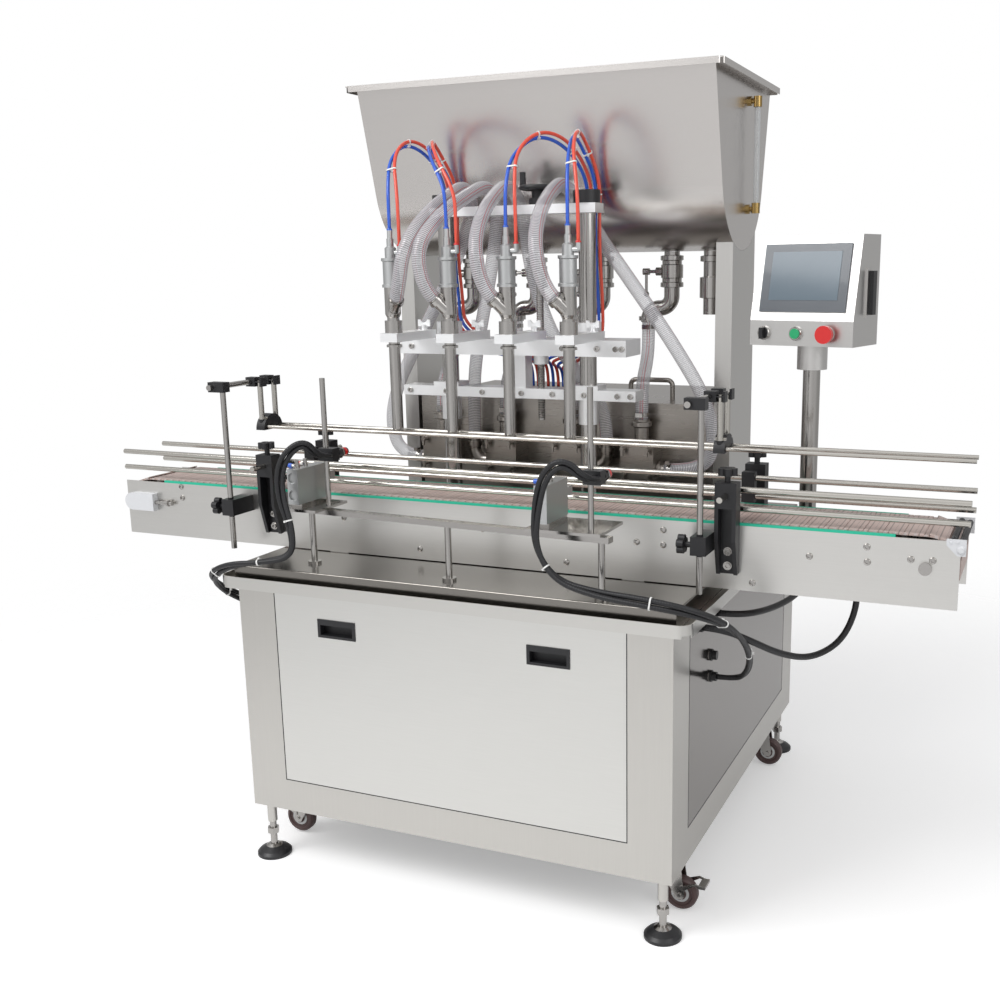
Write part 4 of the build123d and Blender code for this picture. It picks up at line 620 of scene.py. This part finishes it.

# The slat chain is warm grey-brown plastic: every slat has a hinge line, two rows of small holes, and a pale
# hinge eye at each end. The hinge lines and holes are painted dark, as painted shade in the gaps. The pattern
# follows the slats' pitch along the conveyor.
chain_material, tree, principled = shader("slat_plastic")
where = tree.nodes.new("ShaderNodeTexCoord")
split = tree.nodes.new("ShaderNodeSeparateXYZ")
tree.links.new(where.outputs["Object"], split.inputs["Vector"])
half_pitch = 0.01905
hole_pitch = 0.0127
chain_middle = -0.265
eyes_from = 0.0835
along = math_node(tree, "FRACT", math_node(tree, "DIVIDE", split.outputs["X"], half_pitch))
across = math_node(tree, "FRACT", math_node(tree, "DIVIDE", split.outputs["Y"], hole_pitch))
hinge = math_node(tree, "COMPARE", along, 0.5, 0.06)
hole_row = math_node(tree, "COMPARE", along, 0.0, 0.09)
hole = math_node(tree, "MULTIPLY", hole_row, math_node(tree, "COMPARE", across, 0.5, 0.13))
from_middle = math_node(tree, "ABSOLUTE", math_node(tree, "SUBTRACT", split.outputs["Y"], chain_middle))
at_edge = math_node(tree, "GREATER_THAN", from_middle, eyes_from)
eye = math_node(tree, "MULTIPLY", at_edge, math_node(tree, "COMPARE", along, 0.0, 0.30))
hinge_shade = math_node(tree, "MULTIPLY", hinge, 0.55)
hole_shade = math_node(tree, "MULTIPLY", hole, 0.85)
painted_shade_mask = math_node(tree, "MAXIMUM", hinge_shade, hole_shade)
tone = tree.nodes.new("ShaderNodeMixRGB")
tone.inputs["Color1"].default_value = (0.63, 0.495, 0.45, 1.0)
tone.inputs["Color2"].default_value = (0.09, 0.065, 0.06, 1.0)
tree.links.new(painted_shade_mask, tone.inputs["Fac"])
pale = tree.nodes.new("ShaderNodeMixRGB")
pale.inputs["Color2"].default_value = (0.66, 0.58, 0.56, 1.0)
tree.links.new(tone.outputs[0], pale.inputs["Color1"])
tree.links.new(eye, pale.inputs["Fac"])
tree.links.new(pale.outputs[0], principled.inputs["Base Color"])
principled.inputs["Roughness"].default_value = 0.42
paint(chain_material, "slat_chain")

# The level gauge's tube is clear glass with a thin bright edge.
# It is nearly unseen in its middle, and fades in where its wall is looked along.
gauge_glass, tree, principled = shader("gauge_glass")
fade = tree.nodes.new("ShaderNodeLayerWeight")
fade.inputs["Blend"].default_value = 0.35
clear = tree.nodes.new("ShaderNodeMapRange")
clear.inputs["To Min"].default_value = 0.25
clear.inputs["To Max"].default_value = 0.85
tree.links.new(fade.outputs["Facing"], clear.inputs["Value"])
tree.links.new(clear.outputs["Result"], principled.inputs["Alpha"])
principled.inputs["Base Color"].default_value = (0.85, 0.87, 0.88, 1.0)
principled.inputs["Roughness"].default_value = 0.08
paint(gauge_glass, "level_gauge_tube")

# Small hardware is turned or cut in groups, each group one piece.
# Every shape is closed, with its faces outward, and sits on the part that carries it.


def turned_shape(builder, at, axis, profile, sides=20, ring=False):
    """Adds a turned shape to a mesh, from pairs of radius and height along an axis, in mm."""
    axis = Vector(axis).normalized()
    side = axis.orthogonal().normalized()
    other = axis.cross(side)
    base = Vector(at) / 1000
    rings = []
    for radius, height in profile:
        centre = base + axis * height / 1000
        if radius == 0:
            rings.append([builder.verts.new(centre)] * sides)
            continue
        circle = []
        for step in range(sides):
            angle = 2 * math.pi * step / sides
            spread = side * math.cos(angle) + other * math.sin(angle)
            circle.append(builder.verts.new(centre + spread * radius / 1000))
        rings.append(circle)
    pairs = list(zip(rings, rings[1:]))
    if ring:
        pairs.append((rings[-1], rings[0]))
    for low, high in pairs:
        for step in range(sides):
            after = (step + 1) % sides
            corners = [low[step], low[after], high[after], high[step]]
            builder.faces.new(list(dict.fromkeys(corners)))


def box_shape(builder, x, y, z, turn=None):
    """Adds a box to a mesh, from pairs of low and high coordinates in mm."""
    size = Vector((x[1] - x[0], y[1] - y[0], z[1] - z[0])) / 1000
    centre = Vector((x[0] + x[1], y[0] + y[1], z[0] + z[1])) / 2000
    place_at = Matrix.Translation(centre) @ Matrix.Diagonal((*size, 1.0))
    if turn is not None:
        place_at = turn @ place_at
    bmesh.ops.create_cube(builder, size=1.0, matrix=place_at)


def finished(name, builder, material, body):
    """Turns a mesh under construction into a piece that rides on a body."""
    piece = bpy.data.objects.new(name, mesh_of(name, builder, material))
    place(piece, body)


# Button-head screws on the conveyor's front plate, where the cross bars and strips are fixed.
# Each sits on the plate and has a socket in its head.
front_plate, back_plate = -368, -162
button_head = ((0, 0), (7, 0), (7, 1), (5.6, 3.4), (3.4, 4.2), (3.2, 4.2), (3.0, 1.6), (0, 1.6))
builder = bmesh.new()
for x, z in (
    (-830, 844), (-829, 816), (-720, 794), (-360, 800), (0, 800), (360, 800), (418, 830), (418, 798),
    (607, 735), (720, 800), (830, 828), (832, 798), (913, 810), (953, 811), (-953, 800), (-160, 742),
    (200, 742),
):
    turned_shape(builder, (x, front_plate, z), (0, -1, 0), button_head)
finished("conveyor_screws", builder, turned_steel, "machine")

# White plastic block with a long bolt that stretches the chain at the conveyor's left end.
# The bolt's end shows on its right.
builder = bmesh.new()
box_shape(builder, (-996, -908), (-386, front_plate), (780, 823))
left_edges = [edge for edge in builder.edges if all(vert.co.x < -0.99 for vert in edge.verts)]
left_edges = [edge for edge in left_edges if abs(edge.verts[0].co.y - edge.verts[1].co.y) > 0.01]
bmesh.ops.bevel(
    builder, geom=left_edges, offset=0.0214, affect="EDGES", segments=8, profile=0.5, material=-1,
)
finished("tension_block", builder, white_plastic, "machine")
builder = bmesh.new()
bolt_and_nut = ((0, 0), (5, 0), (5, 34), (8, 34), (8, 42), (5, 42), (5, 52), (0, 52))
turned_shape(builder, (-908, -376, 801), (1, 0, 0), bolt_and_nut)
finished("tension_bolt", builder, turned_steel, "machine")

# Thin black strips where the cabinet's panels meet its frame, on the frame's side of each joint, stand for the
# shaded gaps there: painted shade. They stand out just enough to be seen.
builder = bmesh.new()
shade_gap_width, play = 2.2, 0.1
bottom, top = 212.3, 665
left, right, half_depth = -433.7, 401.7, 437.7
front_and_back = ((-548.3, -547.8), (547.8, 548.3))
ends = ((-531.3, -530.8), (498.8, 499.3))
for x, out in ((left, -1), (right, 1)):
    for y in front_and_back:
        box_shape(builder, sorted((x + play * out, x + shade_gap_width * out)), y, (bottom - shade_gap_width, top))
for y in front_and_back:
    box_shape(builder, (left, right), y, (bottom - shade_gap_width, bottom - play))
for y, out in ((-half_depth, -1), (half_depth, 1)):
    for x in ends:
        box_shape(builder, x, sorted((y + play * out, y + shade_gap_width * out)), (bottom - shade_gap_width, top))
for x in ends:
    box_shape(builder, x, (-half_depth, half_depth), (bottom - shade_gap_width, bottom - play))
finished("shade_gap_strips", builder, black, "machine")

# Two ribbed black rollers carry the bottles off the chain's right end.
# They turn between small plates that are screwed to the side plates.
builder = bmesh.new()
core, rib_radius, rib_step, roller_long = 4.6, 6.4, 9, 182
roller = [(0, 0), (4, 0)]
for rib_number in range(20):
    start = 1 + rib_step * rib_number
    roller += [(core, start), (rib_radius, start + 1), (rib_radius, start + 7), (core, start + 8)]
roller += [(4, roller_long), (0, roller_long)]
for x, z in ((988, 851.5), (1004, 849)):
    turned_shape(builder, (x, -356, z), (0, 1, 0), roller, sides=16)
finished("end_rollers", builder, black, "machine")
builder = bmesh.new()
thick = 3.5
small_head = ((0, 0), (2.6, 0), (2.2, 1.6), (0, 1.8))
large_head = ((0, 0), (8, 0), (8, 2), (5, 5), (0, 5.4))
for y, out in ((front_plate, -1), (back_plate, 1)):
    face = y + thick * out
    plate = sorted((y, face))
    box_shape(builder, (976, 1012), plate, (824, 856))
    low_corner = [
        edge for edge in builder.edges
        if all(abs(vert.co.z - 0.824) < 1e-5 and vert.co.x < 0.98 for vert in edge.verts)
        and all(plate[0] - 0.1 < vert.co.y * 1000 < plate[1] + 0.1 for vert in edge.verts)
    ]
    bmesh.ops.bevel(
        builder, geom=low_corner, offset=0.020, affect="EDGES", segments=1, profile=0.5, material=-1,
    )
    for x, z in ((984, 849), (996, 851)):
        turned_shape(builder, (x, face, z), (0, out, 0), small_head)
    turned_shape(builder, (1003, face, 836), (0, out, 0), large_head)
finished("end_plates", builder, white_plastic, "machine")

# Two screws with washers hold each moulded rail arm to its side plate.
# They sit at the bottom of the arm's hollow.
arm_screw = ((0, 0), (9, 0), (9, 1.6), (6.5, 1.6), (6.5, 6), (3.4, 6), (3.0, 2.6), (0, 2.6))
web = 8
builder = bmesh.new()
for x in arms_x:
    for z in (768, 798):
        turned_shape(builder, (x, front_plate - web, z), (0, -1, 0), arm_screw)
        turned_shape(builder, (x, back_plate + web, z), (0, 1, 0), arm_screw)
finished("arm_screws", builder, turned_steel, "machine")

# Socket screws in the front face of the nozzle rack's bar and of its lower plate.
# On the bar they lie between the arms and near its ends, and on the plate all along it.
socket_head = ((0, 0), (6.5, 0), (6.5, 4.5), (5.8, 5), (3.2, 5), (3.0, 1.5), (0, 1.5))
builder = bmesh.new()
for x in (-335, -300, -195, -50, 95, 180, 225, 240):
    turned_shape(builder, (x, -130, 1180), (0, -1, 0), socket_head)
for x in (-330, -230, -132, -28, 52, 132, 215, 247):
    turned_shape(builder, (x, -93, 1070), (0, -1, 0), socket_head)
finished("rack_screws", builder, turned_steel, "nozzle_rack_body")

# The thread of the lift screw, seen between the tie plate and the rack.
# It is a row of fine rings round the screw, close enough to read as a thread.
builder = bmesh.new()
inside, root, crest, pitch, turns = 7.5, 8.05, 9.2, 4, 72
thread = [(inside, 0), (root, 0)]
for turn_number in range(turns):
    start = pitch * turn_number
    thread += [(root, start + 0.4), (crest, start + 2.0), (root, start + 3.6)]
thread += [(inside, pitch * turns)]
turned_shape(builder, (12, -65, 1010), (0, 0, 1), thread, sides=20, ring=True)
finished("lift_thread", builder, turned_steel, "lift_screw_body")

# Collars of the push-in fittings where the air tubes enter the actuators.
# The top ones are blue and the side ones red, as their tubes are.
push_collar = ((4.2, 0), (6.2, 0), (6.2, 2), (5.4, 4), (4.2, 4))
for letter, colour, offset, height in (("a", blue, 0, 1447), ("b", red, 24, 1412)):
    builder = bmesh.new()
    for x in nozzles_x:
        turned_shape(builder, (x + offset, -265, height), (0, 0, 1), push_collar, ring=True)
    finished(f"push_collars_{letter}", builder, colour, "nozzle_rack_body")

# Worm-drive bands round the lower ends of the feed hoses and both ends of the inlet hoses.
# Each band has a small housing for its screw.
band = ((16.2, -5), (17.2, -5), (17.2, 5), (16.2, 5))
inlet_y = 52.5
builder = bmesh.new()
for x in (-394, 296):
    turned_shape(builder, (x, inlet_y, 880), (1, 0, 0), band, sides=32, ring=True)
    box_shape(builder, (x - 5, x + 5), (28, 46), (896, 904))
for x in (-230.5, 132.5):
    turned_shape(builder, (x, inlet_y, 947), (0, 0, 1), band, sides=32, ring=True)
    box_shape(builder, (x - 8, x + 10), (28, 36), (942, 952))
for outlet, low in zip(outlets_x, pumps_x):
    top = outlet - pipe_reach
    turned_shape(builder, (top, 180, 1214), (0, 0, 1), band, sides=32, ring=True)
    box_shape(builder, (top - 8, top + 10), (155, 163), (1209, 1219))
    turned_shape(builder, (low, inlet_y, 1012), (0, 0, 1), band, sides=32, ring=True)
    box_shape(builder, (low - 8, low + 10), (28, 36), (1007, 1017))
finished("hose_bands", builder, turned_steel, "machine")

# Red rings round the noses of the photo sensors, with a steel nut behind each ring and a lens at
# the tip. The sensors look across the chain.
rings = bmesh.new()
nuts = bmesh.new()
nose_ring = ((9, 0), (9.8, 0), (9.8, 9), (9, 9))
nut = ((9, 0), (13, 0), (13, 5), (9, 5))
lens = ((0, 0), (5, 0), (5, 3), (0, 3))
for x, y in ((-334, -422), (334, -500)):
    turned_shape(rings, (x, y + 22, 960), (0, 1, 0), nose_ring, ring=True)
    turned_shape(nuts, (x, y + 11, 960), (0, 1, 0), nut, sides=6, ring=True)
    turned_shape(nuts, (x, y + 36, 960), (0, 1, 0), lens)
finished("sensor_rings", rings, red, "machine")
finished("sensor_nuts", nuts, turned_steel, "machine")

# Speed-control fittings on top of the stop cylinders, with blue and red sleeves.
# Each stands on the cylinder with its sleeve to the left.
blues = bmesh.new()
reds = bmesh.new()
metal = bmesh.new()
stem = ((0, 0), (6, 0), (6, 9), (4.5, 10), (4.5, 17), (0, 18))
side_port = ((0, 0), (4.6, 0), (4.6, 8), (0, 8))
cap_sleeve = ((0, 0), (5.4, 0), (5.4, 9), (4.6, 10), (0, 10))
for x in (-386, 209):
    for coloured, y in ((blues, -500), (reds, -470)):
        turned_shape(metal, (x, y, 936), (0, 0, 1), stem)
        turned_shape(metal, (x - 4, y, 941), (-1, 0, 0), side_port)
        turned_shape(coloured, (x - 12, y, 941), (-1, 0, 0), cap_sleeve)
finished("blue_sleeves", blues, blue, "machine")
finished("red_sleeves", reds, red, "machine")
finished("speed_fittings", metal, turned_steel, "machine")

# The panel's display: a grey-blue pane that fills most of the black frame. It leans back with the frame, and
# shows nothing, but has a faint uneven painted glow. Its place follows from the pole under the box.
pole_top = Vector((0.640, 0.002, 1.188))
panel_turn = math.radians(-13.6)
box_corner = Vector((-0.1205, -0.0655, 0))
face_middle = Vector((0.1205, 0.0185, 0.144))
face_lean = math.atan2(37, 180)
on_panel = Matrix.Translation(pole_top) @ Matrix.Rotation(panel_turn, 4, "Z") @ Matrix.Translation(box_corner)
on_face = on_panel @ Matrix.Translation(face_middle) @ Matrix.Rotation(-face_lean, 4, "X")
display, tree, principled = shader("display_glass")
principled.inputs["Base Color"].default_value = (0.055, 0.075, 0.095, 1.0)
principled.inputs["Roughness"].default_value = 0.10
# The faint uneven emission is a painted glow.
painted_glow = tree.nodes.new("ShaderNodeTexNoise")
painted_glow.inputs["Scale"].default_value = 3.0
tint = tree.nodes.new("ShaderNodeMixRGB")
tint.inputs["Color1"].default_value = (0.12, 0.16, 0.19, 1.0)
tint.inputs["Color2"].default_value = (0.15, 0.19, 0.22, 1.0)
tree.links.new(painted_glow.outputs["Fac"], tint.inputs["Fac"])
tree.links.new(tint.outputs[0], principled.inputs["Emission Color"])
principled.inputs["Emission Strength"].default_value = 0.6
builder = bmesh.new()
box_shape(builder, (-80, 80), (-5.0, -3.9), (-48, 56), turn=on_face)
finished("display_pane", builder, display, "panel_box_body")

# Steel rings round the three controls under the display.
# Each is a turned ring that the control stands in.
builder = bmesh.new()
control_ring = ((11.2, -1), (14.6, -1), (14.6, 2.5), (13.4, 4), (11.2, 4))
outward = on_panel.to_3x3() @ Vector((0, -1, 0))
for x in (35.0, 111.0, 184.0):
    at = on_panel @ Vector((x / 1000, -0.003, 0.027))
    turned_shape(builder, at * 1000, outward, control_ring, sides=36, ring=True)
finished("control_rings", builder, turned_steel, "panel_box_body")

# Hubs with cover rings on both sides of the castors' wheels.
# They turn with the wheels.
hub = ((5, 0), (20, 0), (20, 0.6), (8, 2.4), (5, 2.4))
axle_z, half_hub = 40.5, 8.6
for number, (x, y) in enumerate(((-507, -403), (-507, 403), (475, -403), (475, 403)), start=1):
    builder = bmesh.new()
    for way in (-1, 1):
        turned_shape(builder, (x, y + way * half_hub, axle_z), (0, way, 0), hub, sides=28, ring=True)
    finished(f"wheel_hub_{number}", builder, cast_aluminium, f"wheel_{number}_body")

# Soft studio light: a surround that is bright in front and above, dimmer behind, right and far left,
# so that steel shows its form. The camera sees a plain white backdrop, and metal mirrors a share of it.
metal_share = 0.4
world = bpy.data.worlds.new("studio")
bpy.context.scene.world = world
world.use_nodes = True
tree = world.node_tree
surround = tree.nodes["Background"]
where = tree.nodes.new("ShaderNodeTexCoord")
split = tree.nodes.new("ShaderNodeSeparateXYZ")
tree.links.new(where.outputs["Generated"], split.inputs["Vector"])
spans = []
for axis, start, end, at_start, at_end in (
    ("Y", -0.5, 0.35, 1.0, 0.25), ("X", -0.3, 0.7, 1.0, 0.55), ("Z", 0.35, 0.95, 0.0, 0.4),
    ("X", -0.85, -0.30, 0.45, 1.0),
):
    span = tree.nodes.new("ShaderNodeMapRange")
    span.interpolation_type = "SMOOTHSTEP"
    span.inputs["From Min"].default_value = start
    span.inputs["From Max"].default_value = end
    span.inputs["To Min"].default_value = at_start
    span.inputs["To Max"].default_value = at_end
    tree.links.new(split.outputs[axis], span.inputs["Value"])
    spans.append(span.outputs["Result"])
sides_dimmed = math_node(tree, "MULTIPLY", math_node(tree, "MULTIPLY", spans[0], spans[1]), spans[3])
brightness = math_node(tree, "ADD", sides_dimmed, spans[2])
tree.links.new(brightness, surround.inputs["Strength"])
surround.inputs["Color"].default_value = (0.80, 0.80, 0.81, 1.0)
backdrop = tree.nodes.new("ShaderNodeBackground")
backdrop.inputs["Color"].default_value = (1.0, 1.0, 1.0, 1.0)
backdrop.inputs["Strength"].default_value = 1.0
ray = tree.nodes.new("ShaderNodeLightPath")
in_metal = math_node(tree, "MULTIPLY", ray.outputs["Is Glossy Ray"], metal_share)
in_glass = math_node(tree, "MAXIMUM", ray.outputs["Is Camera Ray"], ray.outputs["Is Transmission Ray"])
choose = tree.nodes.new("ShaderNodeMixShader")
tree.links.new(math_node(tree, "MAXIMUM", in_glass, in_metal), choose.inputs["Fac"])
tree.links.new(surround.outputs[0], choose.inputs[1])
tree.links.new(backdrop.outputs[0], choose.inputs[2])
tree.links.new(choose.outputs[0], tree.nodes["World Output"].inputs["Surface"])


def lamp(name, at, aim, size, power):
    """A square soft lamp of a size in metres, turned to a point."""
    data = bpy.data.lights.new(name, "AREA")
    data.size = size
    data.energy = power
    light = bpy.data.objects.new(name, data)
    light.location = at
    light.rotation_euler = (Vector(aim) - Vector(at)).to_track_quat("-Z", "Y").to_euler()
    collection.objects.link(light)


lamp("key_light", (-2.2, -3.2, 4.2), (0.0, 0.0, 0.9), 2.6, 120.0)
lamp("fill_light", (3.4, -1.8, 2.6), (0.2, 0.0, 0.9), 2.2, 30.0)

# The floor is a plain pale sheet that fades into the backdrop some way from the machine.
# It glows a little where the camera sees it, as a lit studio floor does.
floor_half = 4.0
fade_from, fade_to = 1.2, 3.2
glow_strength = 0.34
floor_builder = bmesh.new()
bmesh.ops.create_grid(floor_builder, x_segments=1, y_segments=1, size=floor_half)
floor_mesh = bpy.data.meshes.new("floor")
floor_builder.to_mesh(floor_mesh)
floor_builder.free()
floor = bpy.data.objects.new("floor", floor_mesh)
collection.objects.link(floor)
floor_white, tree, principled = shader("floor_white")
principled.inputs["Base Color"].default_value = (0.90, 0.90, 0.90, 1.0)
principled.inputs["Roughness"].default_value = 0.85
principled.inputs["Emission Color"].default_value = (1.0, 1.0, 1.0, 1.0)
ray = tree.nodes.new("ShaderNodeLightPath")
in_glass = math_node(tree, "MAXIMUM", ray.outputs["Is Camera Ray"], ray.outputs["Is Transmission Ray"])
in_metal = math_node(tree, "MULTIPLY", ray.outputs["Is Glossy Ray"], metal_share)
glow_seen = math_node(tree, "MULTIPLY", math_node(tree, "MAXIMUM", in_glass, in_metal), glow_strength)
tree.links.new(glow_seen, principled.inputs["Emission Strength"])
where = tree.nodes.new("ShaderNodeTexCoord")
reach = tree.nodes.new("ShaderNodeVectorMath")
reach.operation = "LENGTH"
tree.links.new(where.outputs["Object"], reach.inputs[0])
fade = tree.nodes.new("ShaderNodeMapRange")
fade.interpolation_type = "SMOOTHSTEP"
fade.inputs["From Min"].default_value = fade_from
fade.inputs["From Max"].default_value = fade_to
fade.inputs["To Min"].default_value = 1.0
fade.inputs["To Max"].default_value = 0.0
tree.links.new(reach.outputs["Value"], fade.inputs["Value"])
tree.links.new(fade.outputs["Result"], principled.inputs["Alpha"])
floor_mesh.materials.append(floor_white)

bpy.context.scene.view_settings.view_transform = "Standard"
